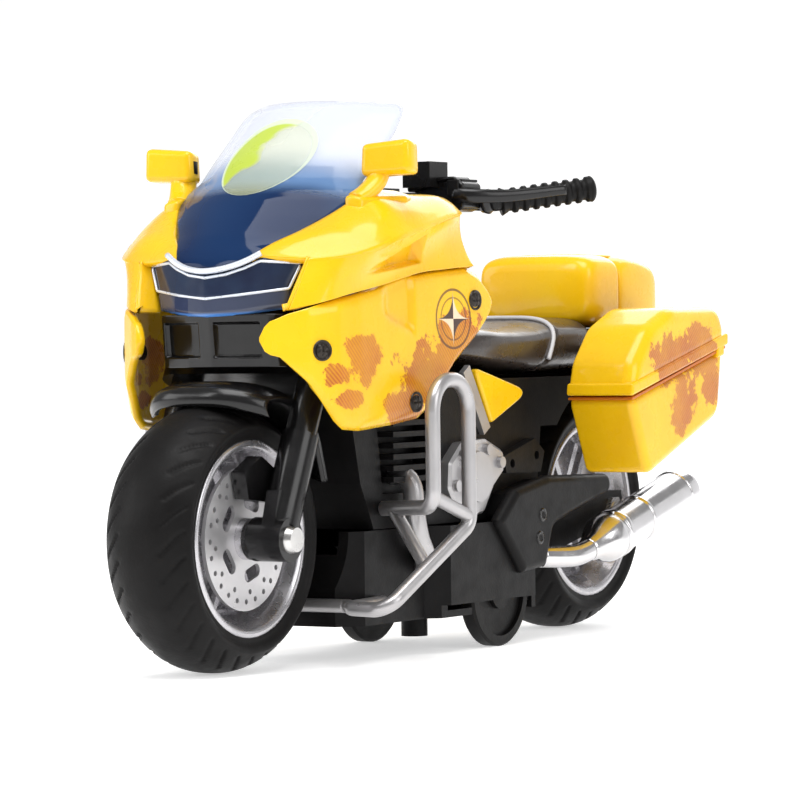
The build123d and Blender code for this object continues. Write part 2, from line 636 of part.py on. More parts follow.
GUARD_IN, GUARD_OUT = BELLY_HALF + 0.1, 17.6
guard_points = [
    (3.6, 21.8), (10.2, 27.1), (24.0, 29.6), (47.0, 29.0), (47.0, 25.6), (24.0, 20.2), (22.0, 13.6),
    (12.2, 12.4),
]
with BuildPart() as heel_guard_left:
    # angular guard outside the gearbox, with its inner rib against the frame
    extrude(side_outline(guard_points, GUARD_IN), amount=GUARD_OUT - GUARD_IN)
    chamfer(heel_guard_left.faces().sort_by(Axis.X)[-1].edges(), 0.6)
    extrude(
        side_outline([(9.8, 23.0), (12.0, 26.6), (24.0, 28.8), (28.0, 28.8), (28.0, 23.0)], FRAME_HALF),
        amount=GUARD_IN - FRAME_HALF,
    )
    for hole in ((21.4, 22.4), (20.4, 18.6)):
        extrude(disc_at(GUARD_OUT, *hole, 0.8), amount=-0.9, mode=Mode.SUBTRACT)
keep(heel_guard_left, "heel_guard_left")

with BuildPart() as heel_guard_right:
    mirror(heel_guard_left.part, about=Plane.YZ)
keep(heel_guard_right, "heel_guard_right")

STRUT_THICK = 1.0
strut_points = [(1.4, 48.0), (3.5, 49.3), (10.4, 38.4), (8.3, 37.1)]
with BuildPart() as frame_struts:
    # bright diagonal strut on each side, between the tank and the gearbox
    for inner, way in ((FRAME_HALF, 1), (-FRAME_HALF, -1)):
        extrude(side_outline(strut_points, inner), amount=way * STRUT_THICK)
keep(frame_struts, "frame_struts")

BAR_TUBE_R = 1.25
HOOP_X, HOOP_FRONT, HOOP_REAR, HOOP_TOP = 28.0, -33.3, -21.8, 47.2
crash_braces = [
    ((15.6, -26.0, 25.8), (25.4, -31.7, 16.4)),
    ((27.8, -32.6, 28.0), (28.0, -22.6, 24.6)),
]
with BuildPart() as crash_bar_left:
    # upright hoop, its lower stay to the belly, and two braces
    with BuildLine():
        FilletPolyline(
            (FRAME_HALF, -24.0, 25.6), (HOOP_X, HOOP_FRONT, 26.4), (HOOP_X, HOOP_FRONT, HOOP_TOP),
            (HOOP_X, HOOP_REAR, HOOP_TOP), (HOOP_X, HOOP_REAR, 23.1), (24.2, -42.4, 9.9),
            (15.6, -39.8, 9.9), (BELLY_FRONT_HALF + 1.0, -26.0, 9.9), radius=[3.0, 5.2, 5.2, 3.0, 3.0, 2.0],
        )
    stay_way = (HOOP_X - FRAME_HALF, HOOP_FRONT + 24.0, 0.8)
    with BuildSketch(Plane(origin=(FRAME_HALF, -24.0, 25.6), z_dir=stay_way)):
        Circle(BAR_TUBE_R)
    sweep()
    for low, high in crash_braces:
        with BuildLine():
            Line(low, high)
        with BuildSketch(Plane(origin=low, z_dir=Vector(*high) - Vector(*low))):
            Circle(BAR_TUBE_R * 0.9)
        sweep()
keep(crash_bar_left, "crash_bar_left")

with BuildPart() as crash_bar_right:
    mirror(crash_bar_left.part, about=Plane.YZ)
keep(crash_bar_right, "crash_bar_right")

# ---- seat, tank and side covers -------------------------------------------------------------------
SEAT_HALF = 13.2
seat_points = [
    (1.6, 51.0), (4.0, 49.9), (29.0, 47.2), (49.2, 47.2), (49.2, 57.6), (36.0, 57.2), (14.0, 56.9),
    (7.5, 55.0),
]
with BuildPart() as seat:
    extrude(side_outline(seat_points, -SEAT_HALF), amount=2 * SEAT_HALF)
    fillet(seat.faces().sort_by(Axis.Z)[-1].edges().filter_by(Axis.X), 0.8)
keep(seat, "seat")

side_cover_points = [(4.9, 48.9), (24.0, 44.2), (10.5, 39.2)]
with BuildPart() as side_cover_left:
    extrude(side_outline(side_cover_points, FRAME_HALF), amount=1.2)
    fillet(side_cover_left.edges().filter_by(Axis.X), 0.8)
keep(side_cover_left, "side_cover_left")

with BuildPart() as side_cover_right:
    mirror(side_cover_left.part, about=Plane.YZ)
keep(side_cover_right, "side_cover_right")

TANK_HALF = 13.0
tank_points = [
    (-14.0, 61.2), (-16.0, 65.2), (-8.0, 66.4), (-1.0, 62.6), (5.8, 54.8), (1.2, 51.4), (0.6, 47.2),
    (-2.7, 49.2),
]
with BuildPart() as fuel_tank:
    extrude(side_outline(tank_points, -TANK_HALF), amount=2 * TANK_HALF)
    fillet(fuel_tank.edges().filter_by(Axis.X).group_by(Axis.Z)[-1], 2.0)
keep(fuel_tank, "fuel_tank")

# ---- fairing, cowl and nose -------------------------------------------------------------------------
fairing_plan = [
    (24.2, -6.0), (24.2, -12.0), (23.4, -22.0), (22.6, -34.0), (21.8, -45.0), (20.8, -50.0),
    (18.4, -54.8), (14.4, -58.5), (11.8, -60.3),
]
fairing_side = [
    (-60.5, 55.5), (-57.5, 51.5), (-50.0, 39.4), (-26.0, 41.0), (-19.0, 46.5), (-13.0, 51.5), (-6.5, 59.5),
    (-10.0, 64.0), (-17.0, 66.0), (-21.5, 65.8), (-36.0, 63.2), (-48.0, 60.3), (-56.0, 57.6),
]
FAIRING_LOW, FAIRING_HIGH = 38.0, 68.0
fairing_screws = [(-53.0, 52.4, 19.3), (-12.5, 60.4, 24.15), (-29.5, 43.9, 22.9)]
with BuildPart() as fairing_left:
    # curved side panel cut to its outline, with three screw holes
    panel_section = plan_outline(wall_section(fairing_plan, FAIRING_WALL), FAIRING_LOW)
    extrude(panel_section, amount=FAIRING_HIGH - FAIRING_LOW)
    extrude(side_outline(fairing_side, 0), amount=40.0, mode=Mode.INTERSECT)
    for screw_y, screw_z, screw_x in fairing_screws:
        extrude(disc_at(screw_x - 6.0, screw_y, screw_z, SCREW_R + 0.05), amount=12.0, mode=Mode.SUBTRACT)
keep(fairing_left, "fairing_left")

with BuildPart() as fairing_right:
    mirror(fairing_left.part, about=Plane.YZ)
keep(fairing_right, "fairing_right")

# cross-sections of the cowl's left wall: station y, then top rail, crease and seam as (x, z)
cowl_stations = [
    (-54.5, [(7.5, 68.3), (14.0, 67.2), (12.9, 58.8)]),
    (-50.0, [(11.4, 71.0), (21.2, 67.7), (18.3, 60.6)]),
    (-46.0, [(14.2, 73.8), (24.6, 68.3), (20.3, 62.0)]),
    (-41.0, [(17.3, 77.0), (26.4, 70.0), (21.8, 63.4)]),
    (-30.0, [(17.0, 78.0), (25.9, 72.6), (23.2, 65.4)]),
    (-20.0, [(16.6, 77.9), (24.6, 74.6), (24.0, 67.2)]),
    (-16.5, [(15.8, 77.6), (23.2, 75.0), (23.4, 69.4)]),
]
with BuildPart() as cowl_wing:
    for station, outline in cowl_stations:
        with BuildSketch(Plane.XZ.offset(-station)):
            Polygon(*wall_section(outline, SKIN), align=None)
    loft(ruled=True)

BROW_LOW, BROW_HIGH = 67.4, 69.0
with BuildPart() as cowl:
    add(cowl_wing.part)
    mirror(cowl_wing.part, about=Plane.YZ)
    # brow over the headlight joins the two sides
    extrude(
        plan_outline(
            [(-14.6, -53.4), (-9.0, -56.8), (0, -58.6), (9.0, -56.8), (14.6, -53.4), (12.0, -50.5),
             (7.0, -53.4), (0, -54.8), (-7.0, -53.4), (-12.0, -50.5)],
            BROW_LOW,
        ),
        amount=BROW_HIGH - BROW_LOW,
    )
keep(cowl, "cowl")

SCREEN_DEPTH = 1.2   # measured along the bike
# height, half width, y of the side edges and y of the centreline of the bowed screen
screen_stations = [
    (67.6, 4.8, -55.5, -56.1),
    (69.5, 9.4, -52.0, -54.6),
    (74.3, 15.0, -43.8, -50.1),
    (77.5, 16.9, -39.0, -47.0),
    (81.7, 16.2, -33.6, -42.6),
    (88.8, 16.4, -25.0, -34.6),
    (93.4, 15.2, -20.2, -29.8),
    (95.0, 12.8, -19.2, -28.0),
]
BOW_STEPS = [-1.0, -0.6, -0.2, 0.2, 0.6, 1.0]
with BuildPart() as windshield:
    # clear screen, raked at about 45 degrees and bowed across
    for height, half, edge_y, middle_y in screen_stations:
        front = [(half * u, edge_y + (middle_y - edge_y) * (1 - u * u)) for u in BOW_STEPS]
        back = [(x, y + SCREEN_DEPTH) for x, y in reversed(front)]
        with BuildSketch(Plane.XY.offset(height)):
            Polygon(*front, *back, align=None)
    loft(ruled=True)
keep(windshield, "windshield")

LENS_LOW, LENS_HIGH = 58.8, 67.1
lens_plan = [(14.6, -52.6), (9.0, -56.2), (0, -58.2), (-9.0, -56.2), (-14.6, -52.6)]
with BuildPart() as headlight_lens:
    extrude(plan_outline(wall_section(lens_plan, 1.2), LENS_LOW), amount=LENS_HIGH - LENS_LOW)
    extrude(
        front_outline([(-10.1, LENS_HIGH), (10.1, LENS_HIGH), (9.2, LENS_LOW), (-9.2, LENS_LOW)], -49.0),
        amount=12.0, mode=Mode.INTERSECT,
    )
keep(headlight_lens, "headlight_lens")

with BuildPart() as headlight_reflector:
    extrude(
        plan_outline([(-10.6, -50.0), (-10.6, -53.0), (0, -56.4), (10.6, -53.0), (10.6, -50.0)], 59.4),
        amount=7.2,
    )
    with Locations((5.2, -57.6, 63.0), (-5.2, -57.6, 63.0)):
        Sphere(4.4, mode=Mode.SUBTRACT)
keep(headlight_reflector, "headlight_reflector")

with BuildPart() as grille:
    # black nose block with a sunk centre and side slots
    extrude(
        plan_outline([(-11.2, -51.8), (-11.2, -54.6), (0, -57.0), (11.2, -54.6), (11.2, -51.8)], 50.8),
        amount=7.6,
    )
    with Locations((0, -56.4, 53.4)):
        Box(7.0, 3.0, 4.2, mode=Mode.SUBTRACT)
    for side in (1, -1):
        for row in (0, 1, 2):
            with Locations((side * 7.6, -56.2, 52.6 + 2.0 * row)):
                Box(5.0, 3.0, 0.9, mode=Mode.SUBTRACT)
keep(grille, "grille")

DASH_HALF = 13.6
dash_points = [
    (-50.0, 69.0), (-46.0, 71.4), (-38.0, 74.6), (-24.0, 78.6), (-22.6, 77.6), (-24.0, 76.8),
    (-38.0, 72.8), (-45.0, 69.8), (-49.0, 67.9),
]
with BuildPart() as dashboard:
    # instrument panel under the screen, two round dials on it
    extrude(side_outline(dash_points, -DASH_HALF), amount=2 * DASH_HALF)
    for side in (1, -1):
        corner = [(side * 4.0, -54.0), (side * 20.0, -38.0), (side * 20.0, -54.0)]
        extrude(plan_outline(corner, 66.0), amount=12.0, mode=Mode.SUBTRACT)
        with Locations(Plane(origin=(side * 5.6, -32.0, 76.4), z_dir=(0, -0.24, 0.97))):
            Cylinder(4.2, 1.6, align=(Align.CENTER, Align.CENTER, Align.MIN))
keep(dashboard, "dashboard")

with BuildPart() as mirror_left:
    with BuildSketch(Plane.XZ.offset(33.4)):
        with Locations((21.7, 83.7)):
            RectangleRounded(9.8, 6.0, 1.2)
    extrude(amount=3.6)
    with BuildLine():
        FilletPolyline((18.4, -36.6, 77.5), (19.2, -35.6, 79.6), (21.0, -35.2, 81.2), radius=1.2)
    with BuildSketch(Plane(origin=(18.4, -36.6, 77.5), z_dir=(0.8, 1.0, 2.1))):
        Circle(1.2)
    sweep()
keep(mirror_left, "mirror_left")

with BuildPart() as mirror_right:
    mirror(mirror_left.part, about=Plane.YZ)
keep(mirror_right, "mirror_right")

with BuildPart() as screws:
    # cross-head screws: six in the fairing, four under the belly
    for side in (1, -1):
        for screw_y, screw_z, screw_x in fairing_screws:
            head = side * (screw_x - 0.35)
            extrude(disc_at(head, screw_y, screw_z, SCREW_R), amount=-side * 3.0)
            with Locations((head, screw_y, screw_z)):
                Box(1.0, 1.7, 0.4, mode=Mode.SUBTRACT)
                Box(1.0, 0.4, 1.7, mode=Mode.SUBTRACT)
    for screw_x, screw_y in belly_screws:
        with BuildSketch(Plane.XY.offset(FLOOR_LOW + 0.1)):
            with Locations((screw_x, screw_y)):
                Circle(SCREW_R)
        extrude(amount=3.0)
        with Locations((screw_x, screw_y, FLOOR_LOW + 0.1)):
            Box(1.7, 0.4, 1.0, mode=Mode.SUBTRACT)
            Box(0.4, 1.7, 1.0, mode=Mode.SUBTRACT)
keep(screws, "screws")

# ---- rear end ----------------------------------------------------------------------------------------
ARM_IN, ARM_OUT = 9.4, 12.2
arm_points = [
    (27.2, 14.6), (27.2, 21.8), (30.8, 25.4), (60.0, 25.4), (61.6, 18.8), (50.0, 18.4), (31.0, 14.6),
]
with BuildPart() as swingarm:
    for inner in (ARM_IN, -ARM_OUT):
        extrude(side_outline(arm_points, inner), amount=ARM_OUT - ARM_IN)
        extrude(disc_at(inner, REAR_Y, WHEEL_R, AXLE_R), amount=ARM_OUT - ARM_IN, mode=Mode.SUBTRACT)
    with Locations((0, 29.2, 18.2)):
        Box(2 * ARM_IN, 4.0, 7.2)
keep(swingarm, "swingarm")

with BuildPart() as rear_axle:
    with Locations(Plane.YZ.offset(-13.2)):
        with Locations((REAR_Y, WHEEL_R)):
            Cylinder(AXLE_R, 26.4, align=(Align.CENTER, Align.CENTER, Align.MIN))
    for face in (ARM_OUT, -ARM_OUT - 0.8):
        with BuildSketch(Plane.YZ.offset(face)):
            with Locations((REAR_Y, WHEEL_R)):
                RegularPolygon(2.5, 6)
        extrude(amount=0.8)
keep(rear_axle, "rear_axle")

TAIL_HALF = 11.0
RACK_X = 17.8
with BuildPart() as tail_body:
    # mudguard and seat rail in one moulding, with a rack arm to each pannier
    with BuildSketch(Plane.YZ.offset(-TAIL_HALF)):
        Polygon(
            (30.0, 46.8), (49.4, 46.8), (49.4, 55.4), (77.0, 55.4), (77.0, 38.0), (30.0, 38.0),
            align=None,
        )
        with Locations((REAR_Y, WHEEL_R)):
            Circle(WHEEL_R + 2.2, mode=Mode.SUBTRACT)
    extrude(amount=2 * TAIL_HALF)
    for rack_y in (53.0, 63.0):
        with Locations((0, rack_y, 51.0)):
            Box(2 * RACK_X, 4.0, 2.4)
keep(tail_body, "tail_body")

with BuildPart() as tail_light:
    with BuildSketch(Plane.XZ.offset(-77.05)):
        with Locations((0, 52.6)):
            RectangleRounded(14.0, 4.0, 1.4)
    extrude(amount=-1.3)
keep(tail_light, "tail_light")

CASE_BOX_HALF = 12.2
CASE_LOW = 55.4
backrest_points = [
    (49.6, CASE_LOW), (49.4, 66.4), (51.4, 68.8), (57.0, 69.2), (60.9, 68.4), (60.9, CASE_LOW),
]
with BuildPart() as backrest:
    extrude(side_outline(backrest_points, -CASE_BOX_HALF), amount=2 * CASE_BOX_HALF)
keep(backrest, "backrest")

top_case_points = [
    (61.1, CASE_LOW), (61.1, 68.2), (66.0, 69.0), (74.6, 68.0), (78.5, 64.6), (78.3, 58.0),
    (76.6, CASE_LOW),
]
with BuildPart() as top_case:
    extrude(side_outline(top_case_points, -CASE_BOX_HALF), amount=2 * CASE_BOX_HALF)
keep(top_case, "top_case")

PANNIER_IN, PANNIER_OUT = 17.9, 31.0
PANNIER_WALL = 1.4
body_points = [(30.2, 42.9), (36.2, 29.8), (38.0, 29.4), (64.4, 39.2), (66.2, 51.7)]
lid_points = [
    (29.8, 43.2), (66.8, 52.2), (66.6, 55.6), (64.6, 59.2), (46.0, 58.8), (37.6, 55.4), (32.0, 49.6),
]
with BuildPart() as pannier_body_left:
    extrude(side_outline(body_points, PANNIER_IN), amount=PANNIER_OUT - PANNIER_IN)
    fillet(pannier_body_left.faces().sort_by(Axis.X)[-1].edges().sort_by(Axis.Z)[:-1], 1.6)
    with BuildSketch(Plane.YZ.offset(PANNIER_IN + PANNIER_WALL)):
        Polygon((32.3, 44.2), (37.4, 31.6), (63.2, 40.4), (64.8, 52.2), align=None)
    extrude(amount=PANNIER_OUT - PANNIER_IN - 2 * PANNIER_WALL, mode=Mode.SUBTRACT)
keep(pannier_body_left, "pannier_body_left")

with BuildPart() as pannier_lid_left:
    extrude(side_outline(lid_points, PANNIER_IN), amount=PANNIER_OUT + 0.3 - PANNIER_IN)
    fillet(pannier_lid_left.faces().sort_by(Axis.X)[-1].edges().sort_by(Axis.Z)[1:], 1.4)
    with BuildSketch(Plane.YZ.offset(PANNIER_IN + PANNIER_WALL)):
        Polygon(
            (32.4, 43.6), (65.2, 51.6), (63.8, 57.6), (46.6, 57.2), (38.6, 54.0), (33.8, 49.2), align=None
        )
    extrude(amount=PANNIER_OUT - PANNIER_IN - 2 * PANNIER_WALL, mode=Mode.SUBTRACT)
keep(pannier_lid_left, "pannier_lid_left")

with BuildPart() as pannier_body_right:
    mirror(pannier_body_left.part, about=Plane.YZ)
keep(pannier_body_right, "pannier_body_right")

with BuildPart() as pannier_lid_right:
    mirror(pannier_lid_left.part, about=Plane.YZ)
keep(pannier_lid_right, "pannier_lid_right")

for piece in pieces:
    export_step(piece, f"parts/{piece.label}.step")
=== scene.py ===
import bmesh
import bpy
import json
import math
from mathutils import Matrix, Vector


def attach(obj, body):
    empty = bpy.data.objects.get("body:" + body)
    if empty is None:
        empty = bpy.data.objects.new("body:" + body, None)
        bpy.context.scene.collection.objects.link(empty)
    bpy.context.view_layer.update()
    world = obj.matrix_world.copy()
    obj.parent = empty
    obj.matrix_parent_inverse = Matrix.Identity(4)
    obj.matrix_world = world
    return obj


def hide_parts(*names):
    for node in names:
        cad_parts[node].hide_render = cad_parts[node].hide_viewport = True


# Pull-back toy touring motorcycle.  Lengths are in millimetres up to the moment a mesh is made.
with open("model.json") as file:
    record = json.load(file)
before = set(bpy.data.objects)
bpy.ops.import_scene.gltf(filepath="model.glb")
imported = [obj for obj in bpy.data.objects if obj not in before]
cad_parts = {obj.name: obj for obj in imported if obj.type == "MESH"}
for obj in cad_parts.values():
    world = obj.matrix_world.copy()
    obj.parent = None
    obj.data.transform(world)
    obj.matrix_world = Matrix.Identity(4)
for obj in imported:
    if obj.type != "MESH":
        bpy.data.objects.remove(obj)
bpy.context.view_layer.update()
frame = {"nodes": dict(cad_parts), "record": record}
NODES = frame["nodes"]
SLOT_OF = {s["node"]: s["material_slot"] for s in frame["record"]["subparts"]}
BODY_OF = {n: b for b, ns in frame["record"]["behaviour"]["bodies"].items() for n in ns}
MM = 0.001
FRONT_Y, REAR_Y, AXLE_Z = -56.5, 56.5, 22.0
SIDES = ((1, "left"), (-1, "right"))


# ---- materials
class Net:
    """Small helper that adds shader nodes and links them."""

    def __init__(self, name):
        self.mat = bpy.data.materials.new(name)
        self.mat.use_nodes = True
        self.tree = self.mat.node_tree
        self.bsdf = self.tree.nodes["Principled BSDF"]
        self.coord = self.add("ShaderNodeTexCoord").outputs["Object"]

    def add(self, kind, **values):
        node = self.tree.nodes.new(kind)
        for key, value in values.items():
            if hasattr(node, key):
                setattr(node, key, value)
            else:
                node.inputs[key.replace("_", " ")].default_value = value
        return node

    def link(self, out, socket):
        self.tree.links.new(out, socket)

    def math(self, op, a, b=None):
        node = self.add("ShaderNodeMath", operation=op)
        for i, value in enumerate((a, b)):
            if value is None:
                continue
            if isinstance(value, (int, float)):
                node.inputs[i].default_value = value
            else:
                self.link(value, node.inputs[i])
        return node.outputs[0]

    def mul(self, a, b):
        return self.math("MULTIPLY", a, b)

    def minus(self, a, b):
        return self.math("SUBTRACT", a, b)

    def size(self, a):
        return self.math("ABSOLUTE", a)

    def noise(self, scale, detail=3.0, rough=0.55):
        node = self.add("ShaderNodeTexNoise", Scale=scale, Detail=detail, Roughness=rough)
        self.link(self.coord, node.inputs["Vector"])
        return node.outputs["Fac"]

    def remap(self, value, a, b, c, d, smooth=False):
        node = self.add("ShaderNodeMapRange")
        node.interpolation_type = "SMOOTHSTEP" if smooth else "LINEAR"
        self.link(value, node.inputs["Value"])
        for name, x in zip(("From Min", "From Max", "To Min", "To Max"), (a, b, c, d)):
            node.inputs[name].default_value = x
        return node.outputs["Result"]

    def mix(self, fac, a, b):
        node = self.add("ShaderNodeMix", data_type="RGBA")
        for socket, value in ((node.inputs["Factor"], fac), (node.inputs["A"], a), (node.inputs["B"], b)):
            if isinstance(value, (int, float)):
                socket.default_value = value
            elif isinstance(value, tuple):
                socket.default_value = (*value, 1.0) if len(value) == 3 else value
            else:
                self.link(value, socket)
        return node.outputs["Result"]

    def axes(self):
        node = self.add("ShaderNodeSeparateXYZ")
        self.link(self.coord, node.inputs[0])
        return node.outputs

    def ellipse(self, y, z, cy, cz, ry, rz):
        """Squared distance from a point of the side view, 1 on an ellipse's rim."""
        dy = self.math("DIVIDE", self.minus(y, cy * MM), ry * MM)
        dz = self.math("DIVIDE", self.minus(z, cz * MM), rz * MM)
        return self.math("ADD", self.mul(dy, dy), self.mul(dz, dz))

    def surface(self, colour, rough, spread, bump, grain):
        """Roughness that varies a little, and a fine moulded grain."""
        self.link(colour, self.bsdf.inputs["Base Color"])
        varied = self.remap(self.noise(320.0), 0.3, 0.7, rough - spread, rough + spread)
        self.link(varied, self.bsdf.inputs["Roughness"])
        if bump:
            node = self.add("ShaderNodeBump", Strength=bump, Distance=0.00006)
            self.link(self.noise(grain, 2.0), node.inputs["Height"])
            self.link(node.outputs[0], self.bsdf.inputs["Normal"])
        return self.mat


def tone(colour, factor):
    """Colour made lighter or darker by a factor."""
    return tuple(min(1.0, c * factor) for c in colour)


def plain(name, colour, rough, spread=0.05, var=0.08, bump=0.12, grain=2600.0, scale=140.0, **fixed):
    """Material of one colour that varies a little; fixed holds socket values."""
    net = Net(name)
    for key, value in fixed.items():
        net.bsdf.inputs[key.replace("_", " ")].default_value = value
    blend = net.remap(net.noise(scale), 0.3, 0.7, 0.0, 1.0)
    return net.surface(net.mix(blend, tone(colour, 1 - var), tone(colour, 1 + var)), rough, spread, bump, grain)


YELLOW = (0.86, 0.53, 0.006)
YELLOW_SHADE = (0.80, 0.44, 0.004)
BRICK = (0.33, 0.034, 0.012)
BRICK_PALE = (0.46, 0.08, 0.014)
MARK_BROWN = (0.09, 0.03, 0.01)
STAR_DARK, STAR_PALE = (0.06, 0.03, 0.02), (0.8, 0.62, 0.42)
PRINT_MIN_X = 0.0185  # prints are only on faces further than this from the middle plane, in metres
HATCH = 8800.0  # radians of hatching per metre


def on_outer_side(net, x):
    return net.math("GREATER_THAN", net.size(x), PRINT_MIN_X)


def print_blotches(net, base, x, y, z, blobs):
    """Ragged map-like patches (y, z, ry, rz), filled with fine slanted hatching."""
    field = None
    for cy, cz, ry, rz in blobs:
        e = net.ellipse(y, z, cy, cz, ry, rz)
        field = e if field is None else net.math("MINIMUM", field, e)
    ragged = net.mul(net.minus(net.noise(210.0, 6.0, 0.72), 0.5), 5.4)
    inside = net.remap(net.math("ADD", field, ragged), 1.0, 0.86, 0.0, 1.0)
    inside = net.mul(inside, on_outer_side(net, x))
    line = net.math("SINE", net.mul(net.math("ADD", y, net.mul(z, 0.85)), HATCH))
    weight = net.remap(line, -0.4, 0.4, 0.66, 0.98)
    patchy = net.remap(net.noise(75.0, 2.0), 0.35, 0.65, 0.75, 1.0)
    ink = net.mix(net.noise(160.0), BRICK, BRICK_PALE)
    return net.mix(net.mul(net.mul(inside, weight), patchy), base, ink)


def print_compass(net, base, x, y, z, centre_y, centre_z, radius):
    """Two rings round a four-point star with alternate dark and pale quarters."""
    side = on_outer_side(net, x)
    d = net.math("SQRT", net.ellipse(y, z, centre_y, centre_z, radius, radius))
    ring = net.remap(net.size(net.minus(d, 1.0)), 0.03, 0.055, 1.0, 0.0)
    inner = net.remap(net.size(net.minus(d, 0.72)), 0.02, 0.04, 0.8, 0.0)
    mark = net.mul(net.mul(net.math("MAXIMUM", ring, inner), 0.85), side)
    dy, dz = (net.minus(axis, middle * MM) for axis, middle in ((y, centre_y), (z, centre_z)))
    arms = [net.math("POWER", net.size(net.math("DIVIDE", d, radius * MM)), 0.5) for d in (dy, dz)]
    star = net.remap(net.math("ADD", *arms), 0.98, 1.04, 1.0, 0.0)
    quarter = net.math("GREATER_THAN", net.mul(dy, dz), 0.0)
    colour = net.mix(mark, base, MARK_BROWN)
    return net.mix(net.mul(star, side), colour, net.mix(quarter, STAR_DARK, STAR_PALE))


def yellow(name, blobs=(), compass=None):
    """Glossy yellow plastic, with prints on the left and right sides where they are asked for."""
    net = Net(name)
    net.bsdf.inputs["Coat Weight"].default_value = 0.4
    net.bsdf.inputs["Coat Roughness"].default_value = 0.07
    net.bsdf.inputs["Specular IOR Level"].default_value = 0.22
    axes = net.axes()
    colour = net.mix(net.remap(net.noise(60.0), 0.3, 0.7, 0.0, 1.0), YELLOW_SHADE, YELLOW)
    if blobs:
        colour = print_blotches(net, colour, *axes, blobs)
    if compass:
        colour = print_compass(net, colour, *axes, *compass)
    return net.surface(colour, 0.28, 0.05, 0.05, 1800.0)


FAIRING_BLOBS = [(-25.5, 47.5, 9.0, 6.6), (-16.6, 53.8, 7.0, 4.8), (-32.5, 42.8, 6.4, 4.0), (-44.0, 50.8, 4.2, 3.8),
                 (-50.4, 48.6, 3.0, 1.9), (-47.6, 44.4, 3.4, 1.5)]
FAIRING_COMPASS = (-18.9, 57.3, 4.9)
CASE_BLOBS = [(46.0, 50.0, 8.0, 4.6), (56.5, 51.0, 5.6, 5.0), (50.0, 42.0, 5.0, 6.0), (61.0, 45.5, 3.6, 4.6)]
# name, colour, (roughness, its spread, colour variation, bump, grain scale), fixed sockets
PLAIN = (
    ("black_frame", (0.0062, 0.0058, 0.006), (0.42, 0.08, 0.25, 0.35, 2200.0), {"Specular_IOR_Level": 0.12}),
    ("black_gloss", (0.005, 0.0047, 0.005), (0.22, 0.05, 0.2, 0.08), {"Specular_IOR_Level": 0.42}),
    ("black_soft", (0.0065, 0.006, 0.006), (0.5, 0.06, 0.2, 0.4, 3000.0), {"Specular_IOR_Level": 0.16}),
    ("black_satin", (0.006, 0.0056, 0.0056), (0.3, 0.06, 0.2, 0.2), {"Specular_IOR_Level": 0.22}),
    ("silver_paint", (0.43, 0.42, 0.425), (0.33, 0.06, 0.06, 0.18, 4200.0), {"Metallic": 0.75}),
    ("plated_chrome", (0.66, 0.65, 0.66), (0.19, 0.07, 0.06, 0.04), {"Metallic": 1.0}),
    ("wheel_silver", (0.50, 0.49, 0.51), (0.26, 0.06, 0.08, 0.1), {"Metallic": 0.85}),
    ("disc_steel", (0.60, 0.59, 0.60), (0.34, 0.07, 0.06, 0.15, 5200.0), {"Metallic": 0.75}),
    ("tyre_rubber", (0.0058, 0.0053, 0.0053), (0.48, 0.08, 0.25, 0.4, 2400.0), {"Specular_IOR_Level": 0.13}),
    ("axle_steel", (0.58, 0.57, 0.56), (0.28, 0.06, 0.08, 0.1), {"Metallic": 1.0}),
    ("gear_plastic", (0.78, 0.76, 0.70), (0.4, 0.05, 0.05, 0.1), {}),
    ("screw_black", (0.024, 0.018, 0.014), (0.32, 0.06, 0.25, 0.2), {"Metallic": 0.5}),
    ("tail_red", (0.42, 0.008, 0.006), (0.15, 0.04, 0.1, 0.05), {"Coat_Weight": 0.6}),
    ("seam_orange", (0.50, 0.13, 0.006), (0.4, 0.05, 0.1, 0.1), {}),
    # pale grey of the seat piping is a painted highlight along the seam ridge, not the piping's own colour
    ("piping_painted_highlight", (0.55, 0.54, 0.55), (0.38, 0.05, 0.06, 0.15), {}),
    ("lens_line", (0.72, 0.76, 0.84), (0.28, 0.05, 0.06, 0.05), {"Metallic": 0.4}),
    ("mirror_glass", (0.70, 0.72, 0.75), (0.06, 0.02, 0.03, 0.0), {"Metallic": 1.0}),
)


def seat_material():
    """Dark brown soft plastic with a fine grain."""
    net = Net("seat_brown")
    net.bsdf.inputs["Coat Weight"].default_value = 0.25
    base = net.mix(net.remap(net.noise(45.0), 0.35, 0.65, 0.0, 1.0), (0.026, 0.019, 0.016), (0.046, 0.037, 0.033))
    return net.surface(base, 0.3, 0.07, 0.3, 1900.0)


NAVY_TOP = (0.0785, 0.0812)  # heights in metres between which navy fades to blue
BLUE_TOP = (0.0812, 0.0868)  # and blue fades to clear


def screen_material():
    """Clear screen: pale at the top, navy at its foot, with a lighter blue streak between."""
    net = Net("screen_clear")
    x, y, z = net.axes()
    streak = net.mul(net.minus(net.noise(55.0, 2.0), 0.5), 0.0022)
    height = net.math("ADD", z, net.mul(net.math("POWER", net.size(x), 2.0), 7.0))
    height = net.math("ADD", height, streak)
    navy = net.remap(height, *NAVY_TOP, 1.0, 0.0, True)
    band = net.remap(height, *BLUE_TOP, 1.0, 0.0, True)
    shade = net.mix(band, (0.60, 0.65, 0.80), (0.13, 0.24, 0.45))
    dark = net.mix(net.remap(net.noise(38.0, 1.0), 0.35, 0.65, 0.0, 1.0), (0.006, 0.020, 0.070), (0.012, 0.045, 0.13))
    net.link(net.mix(navy, shade, dark), net.bsdf.inputs["Base Color"])
    net.link(net.remap(net.noise(300.0), 0.3, 0.7, 0.04, 0.09), net.bsdf.inputs["Roughness"])
    alpha = net.math("MAXIMUM", net.mul(navy, 0.97), net.remap(band, 0.0, 1.0, 0.34, 0.75))
    net.link(alpha, net.bsdf.inputs["Alpha"])
    net.bsdf.inputs["Specular IOR Level"].default_value = 0.16
    return net.mat


